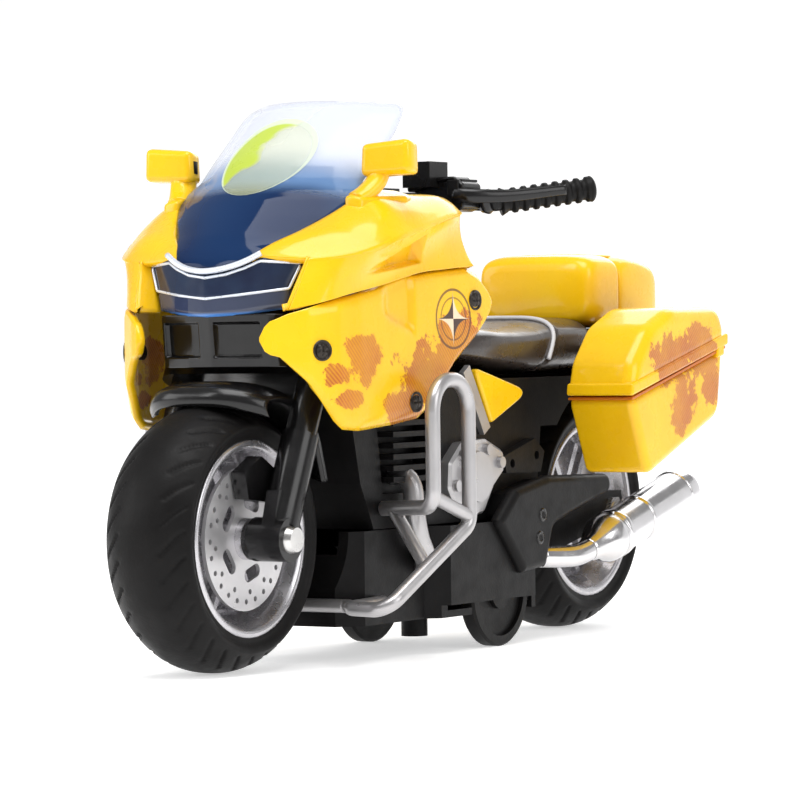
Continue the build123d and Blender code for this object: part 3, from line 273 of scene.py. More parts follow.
def lens_material():
    """Navy lens with a paler lower strip and a bright lower edge."""
    net = Net("lens_blue")
    x, y, z = net.axes()
    bow = net.minus(z, net.mul(net.math("POWER", net.size(x), 2.0), 5.0))
    low = net.remap(bow, 0.0617, 0.0612, 0.0, 1.0, True)
    edge = net.remap(bow, 0.0588, 0.0582, 0.0, 1.0, True)
    deep = net.mix(net.remap(net.noise(120.0), 0.35, 0.65, 0.0, 1.0), (0.008, 0.014, 0.040), (0.014, 0.028, 0.065))
    block = net.math("LESS_THAN", net.size(net.math("ADD", x, 0.0058)), 0.0018)
    grey = net.mix(net.mul(block, 0.85), (0.045, 0.055, 0.095), (0.004, 0.014, 0.060))
    colour = net.mix(edge, net.mix(low, deep, grey), (0.08, 0.26, 0.70))
    return net.surface(colour, 0.13, 0.04, 0.0, 1000.0)


def badge_material():
    """Pale translucent disc with one greener area and a thin ring."""
    net = Net("badge")
    x, y, z = net.axes()
    lean = net.math("ADD", x, net.mul(z, -0.55))
    wobble = net.mul(net.minus(net.noise(130.0, 2.0), 0.5), 0.008)
    green = net.remap(net.math("ADD", lean, wobble), -0.0490, -0.0480, 1.0, 0.0)
    dx = net.math("DIVIDE", x, 0.0082)
    dz = net.math("DIVIDE", net.minus(z, 0.0842), 0.0066)
    d = net.math("SQRT", net.math("ADD", net.mul(dx, dx), net.mul(dz, dz)))
    ring = net.remap(d, 0.90, 0.94, 0.0, 1.0)
    colour = net.mix(green, (0.70, 0.74, 0.36), (0.46, 0.58, 0.04))
    colour = net.mix(ring, colour, (0.62, 0.70, 0.50))
    alpha = net.math("MAXIMUM", net.remap(green, 0.0, 1.0, 0.30, 0.9), net.mul(ring, 0.6))
    net.link(alpha, net.bsdf.inputs["Alpha"])
    return net.surface(colour, 0.3, 0.05, 0.0, 1000.0)


M = {name: plain(name, colour, *finish, **fixed) for name, colour, finish, fixed in PLAIN}
M.update({
    "yellow_shell": yellow("yellow_shell"),
    "yellow_fairing": yellow("yellow_fairing", FAIRING_BLOBS, FAIRING_COMPASS),
    "yellow_case": yellow("yellow_case", CASE_BLOBS),
    "seat_brown": seat_material(),
    "screen_clear": screen_material(),
    "lens_blue": lens_material(),
    "badge": badge_material(),
})


# ---- mesh helpers
def make(name, verts, faces, mat, like=None, body="frame", slot=None, smooth=True):
    """One piece from millimetre vertices.  like is the CAD node it stands for.

    A piece that stands for none rides on body. The slot argument is not used."""
    mesh = bpy.data.meshes.new(name)
    mesh.from_pydata([(x * MM, y * MM, z * MM) for x, y, z in verts], [], faces)
    mesh.validate()
    obj = bpy.data.objects.new(name, mesh)
    bpy.context.scene.collection.objects.link(obj)
    mesh.materials.append(M[mat])
    if smooth:
        mesh.polygons.foreach_set("use_smooth", [True] * len(mesh.polygons))
    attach(obj, BODY_OF[like] if like else body)
    if like:
        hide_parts(like)
    return obj


def solidify(obj, thickness, offset=-1.0):
    """Give a skin its wall thickness."""
    m = obj.modifiers.new("wall", "SOLIDIFY")
    m.thickness = thickness * MM
    m.offset = offset
    m.use_even_offset = True
    m.use_quality_normals = True
    return obj


def bevel(obj, width, segments=3, angle=32):
    """Round the edges sharper than an angle."""
    m = obj.modifiers.new("round", "BEVEL")
    m.width = width * MM
    m.segments = segments
    m.limit_method = "ANGLE"
    m.angle_limit = math.radians(angle)
    m.harden_normals = False
    w = obj.modifiers.new("normals", "WEIGHTED_NORMAL")
    w.keep_sharp = False
    return obj


def grid_faces(rows, cols, wrap=False, flip=False):
    """Quads of a grid of points, row by row; wrap joins each row's ends."""
    faces = []
    for i in range(rows - 1):
        for j in range(cols if wrap else cols - 1):
            k = (j + 1) % cols
            quad = (i * cols + j, i * cols + k, (i + 1) * cols + k, (i + 1) * cols + j)
            faces.append(quad[::-1] if flip else quad)
    return faces


def capped(rows, cols):
    """Faces of a closed bar made of rows rings of cols points."""
    ends = [tuple(range(cols))[::-1], tuple(range((rows - 1) * cols, rows * cols))]
    return grid_faces(rows, cols, wrap=True) + ends


def spline(points, count):
    """count points along a Catmull-Rom curve through points, evenly spaced."""
    pts = [Vector(p) for p in points]
    dense = []
    for i in range(len(pts) - 1):
        p0, p1, p2, p3 = pts[max(i - 1, 0)], pts[i], pts[i + 1], pts[min(i + 2, len(pts) - 1)]
        for s in range(16):
            t = s / 16
            dense.append(0.5 * (2 * p1 + (p2 - p0) * t + (2 * p0 - 5 * p1 + 4 * p2 - p3) * t * t
                                + (3 * p1 - p0 - 3 * p2 + p3) * t * t * t))
    dense.append(pts[-1])
    return resample(dense, count)


def resample(points, count):
    """count evenly spaced points along straight runs."""
    pts = [Vector(p) for p in points]
    run = [0.0]
    for a, b in zip(pts, pts[1:]):
        run.append(run[-1] + (b - a).length)
    out, k = [], 0
    total = run[-1]
    for i in range(count):
        want = total * i / (count - 1)
        while k < len(run) - 2 and run[k + 1] < want:
            k += 1
        span = run[k + 1] - run[k]
        f = 0 if span < 1e-9 else (want - run[k]) / span
        out.append(pts[k].lerp(pts[k + 1], min(1.0, f)))
    return out


def rounded(points, radius, steps=5):
    """Closed outline of 2-D points with its corners rounded."""
    out, n = [], len(points)
    radii = radius if isinstance(radius, (list, tuple)) else [radius] * n
    for i in range(n):
        a, b, c = (Vector(points[(i + k) % n]) for k in (-1, 0, 1))
        u, v = (a - b).normalized(), (c - b).normalized()
        angle = math.acos(max(-1, min(1, u.dot(v))))
        cut = min(radii[i] / math.tan(angle / 2), (a - b).length * 0.48, (c - b).length * 0.48)
        p, q = b + u * cut, b + v * cut
        for s in range(steps + 1):
            t = s / steps
            out.append(p * (1 - t) ** 2 + b * 2 * t * (1 - t) + q * t * t)
    return out


def inset(points, d):
    """Corner points of a convex outline with every edge moved inwards by d."""
    n = len(points)
    pts = [Vector(p) for p in points]
    area = sum(pts[i].x * pts[(i + 1) % n].y - pts[(i + 1) % n].x * pts[i].y for i in range(n))
    sign = 1 if area > 0 else -1
    out = []
    for i in range(n):
        u, v = (pts[i] - pts[i - 1]).normalized(), (pts[(i + 1) % n] - pts[i]).normalized()
        nu, nv = Vector((-u.y, u.x)) * sign, Vector((-v.y, v.x)) * sign
        bis = (nu + nv).normalized()
        out.append(pts[i] + bis * min(d / max(bis.dot(nu), 0.3), 3 * d))
    return out


def power(value, exponent):
    """Power that keeps its sign, for squared-off ovals."""
    return math.copysign(abs(value) ** exponent, value)


def closed(name, verts, faces, mat, like=None, **kw):
    """A closed piece whose faces all look outwards."""
    obj = make(name, verts, faces, mat, like, **kw)
    bm = bmesh.new()
    bm.from_mesh(obj.data)
    bmesh.ops.recalc_face_normals(bm, faces=bm.faces)
    bm.to_mesh(obj.data)
    bm.free()
    return obj


def pillow(name, outline, x0, x1, r0, r1, mat, like=None, corner=1.0, steps=6, **kw):
    """Side-view outline (y, z) from x0 to x1, with rounded rims of radius r0 and r1."""
    side = 1 if x1 > x0 else -1
    quarter = [math.pi / 2 * s / steps for s in range(steps + 1)]
    layers = [(x0, r0 + 0.06)]
    layers += [(x0 + side * r0 * (1 - math.cos(q)), r0 * (1 - math.sin(q))) for q in quarter]
    layers += [(x1 - side * r1 * (1 - math.sin(q)), r1 * (1 - math.cos(q))) for q in quarter]
    layers.append((x1, r1 + 0.06))
    radii = corner if isinstance(corner, list) else [corner] * len(outline)
    verts, n = [], 0
    for x, d in layers:
        ring = rounded(inset(outline, d) if d > 1e-6 else outline, [max(0.25, c - d) for c in radii], 6)
        n = len(ring)
        verts += [(x, p.x, p.y) for p in ring]
    return closed(name, verts, capped(len(layers), n), mat, like, **kw)


def revolve(name, profile, axis_y, axis_z, segments, mat, like=None, relief=None, **kw):
    """Turned piece about a wheel axis.  profile is (x, radius); relief lowers the surface."""
    verts = []
    for s in range(segments):
        a = 2 * math.pi * s / segments
        for x, r in profile:
            rr = r - (relief(x, a, r) if relief else 0.0)
            verts.append((x, axis_y + rr * math.cos(a), axis_z + rr * math.sin(a)))
    n = len(profile)
    faces = []
    for s in range(segments):
        t = (s + 1) % segments
        for j in range(n - 1):
            faces.append((s * n + j, s * n + j + 1, t * n + j + 1, t * n + j))
    return closed(name, verts, faces, mat, like, **kw)


def tube(name, points, radii, mat, like=None, count=40, sides=16, smooth_path=True, flat=(1.0, 1.0), **kw):
    """Round or flattened bar along a path, closed at both ends."""
    path = spline(points, count) if smooth_path else resample(points, count)
    if isinstance(radii, (int, float)):
        radii = [radii] * count
    else:
        radii = [radii[0] + (radii[-1] - radii[0]) * i / (count - 1) for i in range(count)]
    verts = []
    up = Vector((0, 0, 1))
    for i, p in enumerate(path):
        t = (path[min(i + 1, count - 1)] - path[max(i - 1, 0)]).normalized()
        u = t.cross(up)
        if u.length < 1e-3:
            u = t.cross(Vector((0, 1, 0)))
        u.normalize()
        v = u.cross(t).normalized()
        for s in range(sides):
            a = 2 * math.pi * s / sides
            q = p + u * (radii[i] * flat[0] * math.cos(a)) + v * (radii[i] * flat[1] * math.sin(a))
            verts.append(tuple(q))
    return closed(name, verts, capped(count, sides), mat, like, **kw)


def loft(name, like, stations, mat, powers, count, sides, shape=None, **kw):
    """Rounded body along y through stations (y, half width, top, bottom).

    powers square its section off across and upright, and shape may move a point."""
    verts = []
    tops = spline([(half, y, top) for y, half, top, low in stations], count)
    lows = spline([(half, y, low) for y, half, top, low in stations], count)
    for (half, y, top), low in zip(tops, lows):
        middle, tall = (top + low.z) / 2, (top - low.z) / 2
        for s in range(sides):
            a = 2 * math.pi * s / sides
            p = (half * power(math.cos(a), powers[0]), y, middle + tall * power(math.sin(a), powers[1]))
            verts.append(shape(*p, half, middle, tall) if shape else p)
    return closed(name, verts, capped(count, sides), mat, like, **kw)


def mirrored(points, side):
    """Points of a left-hand piece, moved to the given side."""
    return [(side * p[0], *p[1:]) for p in points]


def both_sides(build, name):
    """Build a left-hand piece, and its mirror image for the right-hand side."""
    for side, tag in SIDES:
        build(f"{name}_{tag}", side)


def lerp_table(table, x):
    """Value at x of a table of (x, value) with x rising."""
    if x <= table[0][0]:
        return table[0][1]
    for (a, va), (b, vb) in zip(table, table[1:]):
        if x <= b:
            return va + (vb - va) * (x - a) / (b - a)
    return table[-1][1]


def step(x, a, b):
    """0 below a, 1 above b, and smooth between."""
    t = max(0.0, min(1.0, (x - a) / (b - a)))
    return t * t * (3 - 2 * t)


# ---- wheels
TREAD_PITCH, TREAD_DEPTH = math.radians(12.0), 0.38
TREAD_IN, TREAD_OUT = 3.4, 7.7


def tread(x, a, r):
    """Short slanted grooves on the shoulders of a tyre."""
    ax = abs(x)
    if not TREAD_IN < ax < TREAD_OUT or r < 17.6:
        return 0.0
    lean = 0.055 * (ax - TREAD_IN) * (1 if x > 0 else -1)
    phase = ((a + lean) % TREAD_PITCH) / TREAD_PITCH
    groove = 1 - step(abs(phase - 0.5), 0.05, 0.11)
    ends = step(ax, TREAD_IN, 4.3) * (1 - step(ax, 7.0, TREAD_OUT))
    return TREAD_DEPTH * groove * ends


TYRE_SIDE = [(-5.8, 15.0), (-7.0, 15.6), (-7.3, 16.0), (-7.55, 16.5), (-7.5, 16.8), (-7.9, 17.3), (-8.2, 18.0)]
TYRE_HALF, CROWN_R, CROWN_H = 8.2, 18.4, 3.55


def tyre_profile():
    """Section (x, radius) from bead to bead over a crowned tread."""
    pts = list(TYRE_SIDE)
    wide = math.radians(70)
    for i in range(41):
        x = TYRE_HALF * math.sin(math.radians(-70 + 140 * i / 40)) / math.sin(wide)
        pts.append((x, CROWN_R + CROWN_H * (1 - (abs(x) / TYRE_HALF) ** 2.35)))
    return pts + [(-x, r) for x, r in TYRE_SIDE[::-1]]


RIM_LIP = [(7.0, 14.6), (7.35, 14.9), (7.55, 15.3), (7.5, 15.9), (7.2, 16.2), (6.6, 16.0), (6.4, 15.2), (7.0, 14.6)]
for end, wheel_y in (("front", FRONT_Y), ("rear", REAR_Y)):
    revolve(end + "_tyre_tread", tyre_profile(), wheel_y, AXLE_Z, 540, "tyre_rubber", end + "_tyre", tread)
    for side, tag in SIDES:
        revolve(f"{end}_rim_lip_{tag}", mirrored(RIM_LIP, side), wheel_y, AXLE_Z, 160, "wheel_silver",
                body=end + "_wheel")


# ---- fairing sides
PLAN = [(-62.0, 9.5), (-60.3, 11.8), (-58.5, 14.4), (-54.8, 18.4), (-50.0, 20.8), (-45.0, 21.8), (-34.0, 22.6),
        (-22.0, 23.4), (-12.0, 24.2), (-6.0, 24.3)]
LOW = [(-60.2, 54.0), (-60.0, 53.0), (-59.5, 51.9), (-58.2, 51.35), (-56.8, 49.5), (-53.2, 44.9), (-50.2, 40.8),
       (-48.3, 39.5), (-44.5, 39.2), (-34.8, 40.0), (-28.0, 40.9), (-25.6, 42.2), (-21.1, 46.6), (-17.9, 49.8),
       (-14.4, 52.2), (-10.0, 55.2), (-7.6, 57.4), (-6.3, 59.8)]
HIGH = [(-60.2, 54.6), (-60.0, 55.8), (-59.2, 57.2), (-57.2, 58.4), (-54.9, 59.3), (-49.5, 60.8), (-39.6, 62.6),
        (-30.0, 64.7), (-20.7, 65.6), (-14.0, 66.0), (-10.7, 64.9), (-8.0, 62.9), (-6.8, 61.4), (-6.3, 60.2)]
FAIRING_FRONT, FAIRING_BACK = -60.2, -6.3


def fairing_relief(y, z):
    """How far the panel's skin is sunk at a point of the side view: one triangular recess."""
    if not -39.5 < y < -29.8:
        return 0.0
    top = 62.0 + 0.24 * (y + 39.5)
    low = 58.6 - 0.36 * (y + 39.5)
    inside = step(z, low - 0.4, low + 0.4) * (1 - step(z, top - 0.5, top + 0.3))
    return 0.85 * inside * step(y, -39.5, -36.0) * (1 - step(y, -30.4, -29.9))


def fairing_skin(y, z):
    """Distance of the bowed skin from the middle plane."""
    return lerp_table(PLAN, y) - 0.00175 * (z - 53) ** 2


def fairing(name, side):
    """Side panel between the LOW and HIGH outlines, rolled in at its rims."""
    cols, rows = 110, 30
    verts = []
    for i in range(cols):
        y = FAIRING_FRONT + (FAIRING_BACK - FAIRING_FRONT) * i / (cols - 1)
        lo, hi = lerp_table(LOW, y), lerp_table(HIGH, y)
        for j in range(rows):
            v = j / (rows - 1)
            z = lo + (hi - lo) * v
            x = fairing_skin(y, z)
            rim = min(z - lo, hi - z, -5.8 - y)
            x -= 0.9 * (1 - step(rim, 0.0, 1.3)) * step(y, -57.5, -49.0)
            x -= fairing_relief(y, z)
            verts.append((side * x, y, z))
    solidify(make(name + "_panel", verts, grid_faces(cols, rows, flip=side > 0), "yellow_fairing", name), 1.3)


both_sides(fairing, "fairing")


def cross_screw(name, side, y, z):
    """Black cross-head screw in a ring, standing on the fairing's skin."""
    dx = lerp_table(PLAN, y + 1.0) - lerp_table(PLAN, y - 1.0)
    out = Vector((2.0, -dx, 0.0)).normalized()
    along, upright = Vector((-out.y, out.x, 0.0)), Vector((0, 0, 1))
    rings = [(-0.5, 1.75), (0.25, 1.7), (0.32, 1.5), (0.05, 1.35), (0.0, 1.2), (0.3, 1.05), (0.42, 0.7), (0.46, 0.3)]
    centre = Vector((fairing_skin(y, z), y, z))
    verts, sides = [], 32
    for lift, r in rings:
        for k in range(sides):
            a = 2 * math.pi * k / sides
            cross = 0.32 if abs(math.sin(2 * a)) < 0.45 and 0.1 < r < 0.9 else 0.0
            p = centre + along * r * math.cos(a) + upright * r * math.sin(a) + out * (lift - cross)
            verts.append((side * p.x, p.y, p.z))
    faces = grid_faces(len(rings), sides, wrap=True)
    faces.append(tuple(range((len(rings) - 1) * sides, len(rings) * sides)))
    closed(name, verts, faces, "screw_black")


for side, tag in SIDES:
    for k, (y, z) in enumerate(((-53.0, 52.4), (-12.5, 60.4), (-29.8, 43.6))):
        cross_screw(f"fairing_screw_{tag}_{k}", side, y, z)

# ---- cowl
RAIL = [(7.6, -55.4, 68.0), (9.5, -52.0, 70.0), (12.4, -48.4, 72.0), (15.2, -43.8, 74.6), (17.6, -39.2, 77.4),
        (17.4, -35.0, 78.2), (17.0, -28.0, 78.2), (16.6, -20.0, 78.0), (16.0, -16.6, 77.5)]
CREASE = [(16.6, -52.6, 67.3), (19.2, -51.2, 67.5), (22.2, -49.0, 67.9), (25.0, -45.5, 68.5), (26.5, -41.0, 70.2),
          (26.3, -35.0, 71.6), (25.9, -29.0, 72.8), (24.6, -20.0, 74.6), (23.4, -15.6, 75.2)]
SEAM = [(15.2, -56.4, 59.0), (17.6, -54.6, 59.6), (20.0, -51.6, 60.5), (21.4, -47.0, 61.6), (22.3, -40.0, 62.8),
        (22.7, -34.5, 63.9), (23.1, -27.0, 65.2), (23.7, -19.6, 65.8), (24.0, -12.6, 66.2)]


def cowl_relief(y, z):
    """Depth of the side scoop that widens from its tip and ends at an upright wall."""
    if not -45.5 < y < -27.6:
        return 0.0
    low = 64.6 + 2.3 * (y + 45.0) / 17.0
    top = 64.9 + 6.4 * (y + 45.0) / 17.0
    inside = step(z, low - 0.35, low + 0.25) * (1 - step(z, top - 0.3, top + 0.3))
    return 2.1 * inside * step(y, -45.5, -33.0) * (1 - step(y, -28.4, -27.9))


def cowl_half(side):
    """Half of the cowl, from under the screen's rail over the crease to the seam."""
    cols, rows, verts = 130, 0, []
    for i, (a, b, c) in enumerate(zip(spline(RAIL, cols), spline(CREASE, cols), spline(SEAM, cols))):
        lip = Vector((a.x - 1.2, a.y + 0.6, a.z - 2.6))
        ring = [lip.lerp(a, s / 3) for s in range(3)]
        crown = 1.5 * step(i / cols, 0.0, 0.25)
        for s in range(15):
            ring.append(a.lerp(b, s / 15) + Vector((0.25, -0.12, 0.95)) * (crown * math.sin(math.pi * s / 15)))
        ring += [b.lerp(c, t) + Vector((0.14 * (1 - t), 0, -0.05)) for t in (0.0, 0.012, 0.028)]
        waist = 1.1 * step(i / cols, 0.05, 0.4)
        for s in range(1, 46):
            t = 0.03 + 0.97 * s / 45
            p = b.lerp(c, t)
            depth = waist * math.sin(math.pi * t) ** 0.8 + cowl_relief(p.y, p.z)
            ring.append(Vector((p.x - depth, p.y, p.z)))
        ring.append(ring[-1] - Vector((1.1, 0, 0.25)))
        rows = len(ring)
        verts += [(side * p.x, p.y, p.z) for p in ring]
    return verts, grid_faces(cols, rows, flip=side < 0)


cowl_verts, cowl_faces = [], []
for side, _ in SIDES:
    half_verts, half_faces = cowl_half(side)
    cowl_faces += [tuple(k + len(cowl_verts) for k in face) for face in half_faces]
    cowl_verts += half_verts
solidify(make("cowl_shell", cowl_verts, cowl_faces, "yellow_shell", "cowl"), 1.2)


def cheek(name, side):
    """Return face from the cowl's front edge back to the lens."""
    outer = spline([(16.8, -52.4, 67.5), (16.4, -53.4, 65.0), (15.8, -55.0, 62.0), (15.1, -56.4, 58.9)], 14)
    inner = spline([(15.8, -50.7, 67.6), (14.8, -51.4, 65.0), (13.7, -52.0, 62.0), (12.7, -52.7, 58.8)], 14)
    verts = []
    for a, b in zip(outer, inner):
        for k in range(6):
            p = a.lerp(b, k / 5)
            verts.append((side * p.x, p.y, p.z))
    skin = make(name, verts, grid_faces(14, 6, flip=side > 0), "yellow_shell")
    solidify(skin, 0.6)


both_sides(cheek, "cowl_cheek")

# ---- windshield, badge, lens
# (z, half width), (z, y at the edge) and (z, y in the middle)
SCREEN_HALF = [(65.6, 3.0), (66.6, 6.4), (67.6, 8.0), (68.8, 9.4), (71.5, 12.2), (74.3, 15.2), (77.0, 17.3),
               (78.6, 17.4), (80.6, 16.3), (84.0, 16.5), (88.8, 16.5), (92.0, 16.0), (93.2, 15.2), (93.9, 14.0)]
SCREEN_EDGE = [(65.6, -56.6), (66.6, -56.0), (67.6, -55.0), (68.8, -53.4), (71.5, -48.2), (74.3, -43.8),
               (77.5, -39.0), (81.7, -33.6), (84.0, -30.8), (88.8, -25.0), (93.9, -19.8)]
SCREEN_MID = [(65.6, -56.9), (67.0, -56.3), (71.0, -53.3), (77.0, -47.6), (84.0, -40.2), (90.0, -33.0), (94.2, -27.4)]
SCREEN_FOOT, SCREEN_TOP = 65.6, 93.9


def screen_point(u, z, lift=0.0):
    """Point of the bowed screen at height z, u running from -1 to 1 across it."""
    half, edge, mid = lerp_table(SCREEN_HALF, z), lerp_table(SCREEN_EDGE, z), lerp_table(SCREEN_MID, z)
    bow = 1 - abs(u) ** 2.0
    return (u * half, edge + (mid - edge) * bow - lift, z + 0.35 * bow + lift * 0.5)


rows, cols = 70, 41
screen_verts = []
for i in range(rows):
    z = SCREEN_FOOT + (SCREEN_TOP - SCREEN_FOOT) * i / (rows - 1)
    screen_verts += [screen_point(-1 + 2 * j / (cols - 1), z) for j in range(cols)]
solidify(make("windshield_screen", screen_verts, grid_faces(rows, cols), "screen_clear", "windshield"), 0.8)

BADGE_R, BADGE_Z = 8.2, 84.2
badge_verts = []
rings, spokes = 8, 48
for i in range(rings):
    r = BADGE_R * (i + 0.02) / (rings - 1)
    for j in range(spokes):
        a = 2 * math.pi * j / spokes
        z = BADGE_Z + r * 0.8 * math.sin(a)
        badge_verts.append(screen_point(r * math.cos(a) / lerp_table(SCREEN_HALF, z), z, 0.12))
make("windshield_badge", badge_verts, grid_faces(rings, spokes, wrap=True), "badge",
     slot="screen_clear")


def lens_y(x):
    """Front surface of the wrapped lens."""
    return -57.8 + 6.2 * (abs(x) / 14.7) ** 1.6


LENS_TOP = [(0.0, 65.0), (3.5, 65.4), (6.6, 66.4), (8.6, 67.6), (9.2, 67.9), (12.0, 67.7), (15.6, 67.4)]
LENS_LOW = [(0.0, 58.0), (6.0, 58.3), (12.6, 59.2), (15.6, 60.0)]
LENS_HALF = [(58.6, 12.6), (62.7, 13.4), (67.2, 15.6)]
cols, rows = 61, 25
lens_verts = []
for i in range(rows):
    v = i / (rows - 1)
    wide = lerp_table(LENS_HALF, 58.6 + 8.6 * v)
    for j in range(cols):
        u = -1 + 2 * j / (cols - 1)
        x = u * wide
        low, top = lerp_table(LENS_LOW, abs(x)), lerp_table(LENS_TOP, abs(x))
        rim = min(v, 1 - v, (1 - abs(u)) * 1.4)
        lens_verts.append((x, lens_y(x) + 0.5 * (1 - step(rim, 0.0, 0.07)), low + (top - low) * v))
solidify(make("headlight_lens_cover", lens_verts, grid_faces(rows, cols), "lens_blue", "headlight_lens"), 1.0)


def on_lens(x, z, lift=0.12):
    """Point just in front of the lens."""
    return (x, lens_y(x) - lift, z)


OUTLINE = [(0.0, 64.4), (3.6, 64.9), (6.6, 65.9), (8.9, 67.0), (14.7, 66.6), (13.0, 62.5), (6.0, 61.6), (0.0, 61.0)]
for side, tag in SIDES:
    line = [on_lens(x, z) for x, z in mirrored(OUTLINE, side)]
    tube("lens_line_" + tag, line, 0.24, "lens_line", slot="plated_chrome", count=90, sides=8,
         smooth_path=False)
BAND = ((-9.2, 68.3), (-6.6, 66.9), (-3.5, 65.9), (0.0, 65.5), (3.5, 65.9), (6.6, 66.9), (9.2, 68.3))
band = [on_lens(x, z, 0.35) for x, z in BAND]
tube("lens_band", band, 0.5, "lens_line", slot="plated_chrome", count=40, sides=10)

# ---- mirrors
MIRROR_HEAD = [(16.8, 80.8), (17.1, 86.2), (26.2, 86.9), (26.4, 81.2)]
MIRROR_STEM = [(19.4, -35.2, 82.0), (19.2, -35.8, 80.0), (18.4, -37.6, 78.2), (17.6, -39.6, 77.0)]
MIRROR_FOOT = [(16.4, -41.6), (19.6, -41.2), (22.4, -31.2), (21.6, -28.4), (18.6, -29.0), (16.8, -36.0)]
MIRROR_SLOT = [(16.95, -35.9, 82.4), (16.95, -34.9, 82.3), (16.95, -34.9, 84.4), (16.95, -35.9, 84.5)]


def mirror(name, side):
    """Square head with its glass, a curved stem and a leaf-shaped foot."""
    layers = [(-37.2, 1.06, 0.0), (-37.2, 1.0, 0.0), (-37.08, 0.5, 0.0), (-36.7, 0.15, 0.0), (-36.2, 0.0, 0.0),
              (-34.0, 0.15, 0.3), (-33.6, 0.5, 0.3), (-33.6, 0.6, 0.3)]
    verts, ring = [], []
    for y, d, drop in layers:
        ring = rounded(inset(MIRROR_HEAD, d), max(0.2, 1.1 - d), 4)
        verts += [(side * p.x, y, p.y - drop) for p in ring]
    n = len(ring)
    closed(name + "_head", verts, capped(len(layers), n), "yellow_shell", name)
    tube(name + "_stem", mirrored(MIRROR_STEM, side), [2.3, 2.0], "yellow_shell", count=24, sides=20,
         flat=(1.0, 0.7))
    verts = []
    for lift, d in ((-1.2, 0.0), (0.5, 0.0), (0.85, 0.12), (1.0, 0.45), (1.0, 0.5)):
        ring = rounded(inset(MIRROR_FOOT, d), 0.9, 4)
        verts += [(side * p.x, p.y, lift + 76.6 + 1.3 * step(p.y, -42.0, -36.0) - 0.30 * max(0.0, p.x - 18.0))
                  for p in ring]
    n = len(ring)
    faces = grid_faces(5, n, wrap=True) + [tuple(range(4 * n, 5 * n))]
    closed(name + "_foot", verts, faces, "yellow_shell")
    solidify(make(name + "_slot", mirrored(MIRROR_SLOT, side), [(0, 1, 2, 3)], "black_soft"), 0.25, 0.0)
    glass = [(side * p.x, -33.55, p.y - 0.3) for p in rounded(inset(MIRROR_HEAD, 1.0), 0.6, 4)]
    face = make(name + "_glass", glass, [tuple(range(len(glass)))], "mirror_glass", slot="plated_chrome")
    solidify(face, 0.1, 0.0)


both_sides(mirror, "mirror")

# ---- nose block under the lens
GRILLE_PLAN = [(0.0, -57.0), (5.0, -56.3), (10.0, -54.9), (11.2, -54.2), (12.0, -53.0)]


def grille_y(x, z):
    """Front surface of the nose block, with a sunk rectangle each side of its post."""
    y = lerp_table(GRILLE_PLAN, abs(x)) + 0.10 * (58.0 - z)
    for centre in (-6.6, 4.6):
        wide = step(4.1 - abs(x - centre), 0.0, 0.35)
        high = step(2.9 - abs(z - 54.3), 0.0, 0.35)
        y += 1.3 * wide * high
    return y


GRILLE_LOW, GRILLE_TOP, GRILLE_HALF = 49.8, 58.4, 12.0
rows, cols = 50, 121
grille_verts = []
for i in range(rows):
    z = GRILLE_LOW + (GRILLE_TOP - GRILLE_LOW) * i / (rows - 1)
    for j in range(cols):
        x = GRILLE_HALF * (2 * j / (cols - 1) - 1)
        grille_verts.append((x, grille_y(x, z), z))
solidify(make("grille_face", grille_verts, grid_faces(rows, cols), "black_gloss", "grille"), 1.2)

# ---- front fender
FENDER_MID = [(-62.3, 43.6), (-62.4, 45.4), (-60.8, 47.0), (-56.0, 47.6), (-50.0, 46.9), (-45.4, 44.6), (-41.0, 41.0),
              (-37.4, 36.0), (-36.2, 31.8)]
FENDER_SIDE = [(-56.8, 41.6), (-57.6, 43.0), (-56.6, 44.6), (-53.0, 45.0), (-48.8, 44.2), (-44.6, 41.8), (-41.2, 38.4),
               (-38.6, 34.0), (-37.2, 30.8)]
cols, rows = 45, 60
mid = spline([(0, y, z) for y, z in FENDER_MID], rows)
edge = spline([(0, y, z) for y, z in FENDER_SIDE], rows)
fender_verts = []
for i in range(rows):
    for j in range(cols):
        u = -1 + 2 * j / (cols - 1)
        p = mid[i].lerp(edge[i], abs(u) ** 3.2)
        half = 11.55 - 1.6 * step(i / rows, 0.45, 1.0)
        fender_verts.append((half * u, p.y, p.z))
solidify(make("front_fender_guard", fender_verts, grid_faces(rows, cols), "black_gloss", "front_fender"), 1.2)

# ---- seat, tank and boxes
# (y, half width, top, bottom)
SEAT_ROWS = [
    (1.8, 7.5, 52.2, 51.2), (4.0, 9.6, 53.6, 50.0), (7.5, 11.6, 55.2, 49.6), (12.0, 12.6, 56.0, 49.0),
    (18.0, 13.0, 56.0, 48.4), (24.0, 13.1, 56.1, 47.8), (30.0, 13.1, 56.4, 47.4), (34.0, 13.0, 56.9, 47.3),
    (36.5, 12.9, 57.3, 47.3), (42.0, 12.6, 57.5, 47.3), (49.0, 12.0, 57.5, 47.3),
]


PIPING_Y, PIPING_LEAN = 36.4, 0.62


def seat_shape(x, y, z, half, middle, tall):
    """Shallow dip where the rider sits, and a groove under the piping."""
    if z > middle:
        z -= 0.55 * math.exp(-((y - 20) / 9.0) ** 2) * (1 - (x / 13.2) ** 2)
    away = (y - (PIPING_Y - PIPING_LEAN * max(0.0, 57.0 - z))) / 0.5
    groove = math.exp(-away ** 2) * 0.45
    return x * (1 - groove / max(half, 1.0)), y, middle + (z - middle) * (1 - groove / max(tall, 1.0))


seat = loft("seat_cover", "seat", SEAT_ROWS, "seat_brown", (0.55, 0.62), 64, 44, seat_shape)
# piping ridge between the rider's and the passenger's seat: the ridge is real, its pale grey is a painted highlight
piping_painted_highlight = []
for k in range(25):
    a = math.pi * k / 24
    x = 13.15 * power(math.cos(a), 0.5)
    z = 50.0 + 7.5 * abs(math.sin(a)) ** 0.55
    piping_painted_highlight.append((x, PIPING_Y - 0.2 - PIPING_LEAN * max(0.0, 57.2 - z), z))
tube("seat_piping", piping_painted_highlight, 0.42, "piping_painted_highlight", slot="silver_paint", count=110, sides=10,
     smooth_path=False)

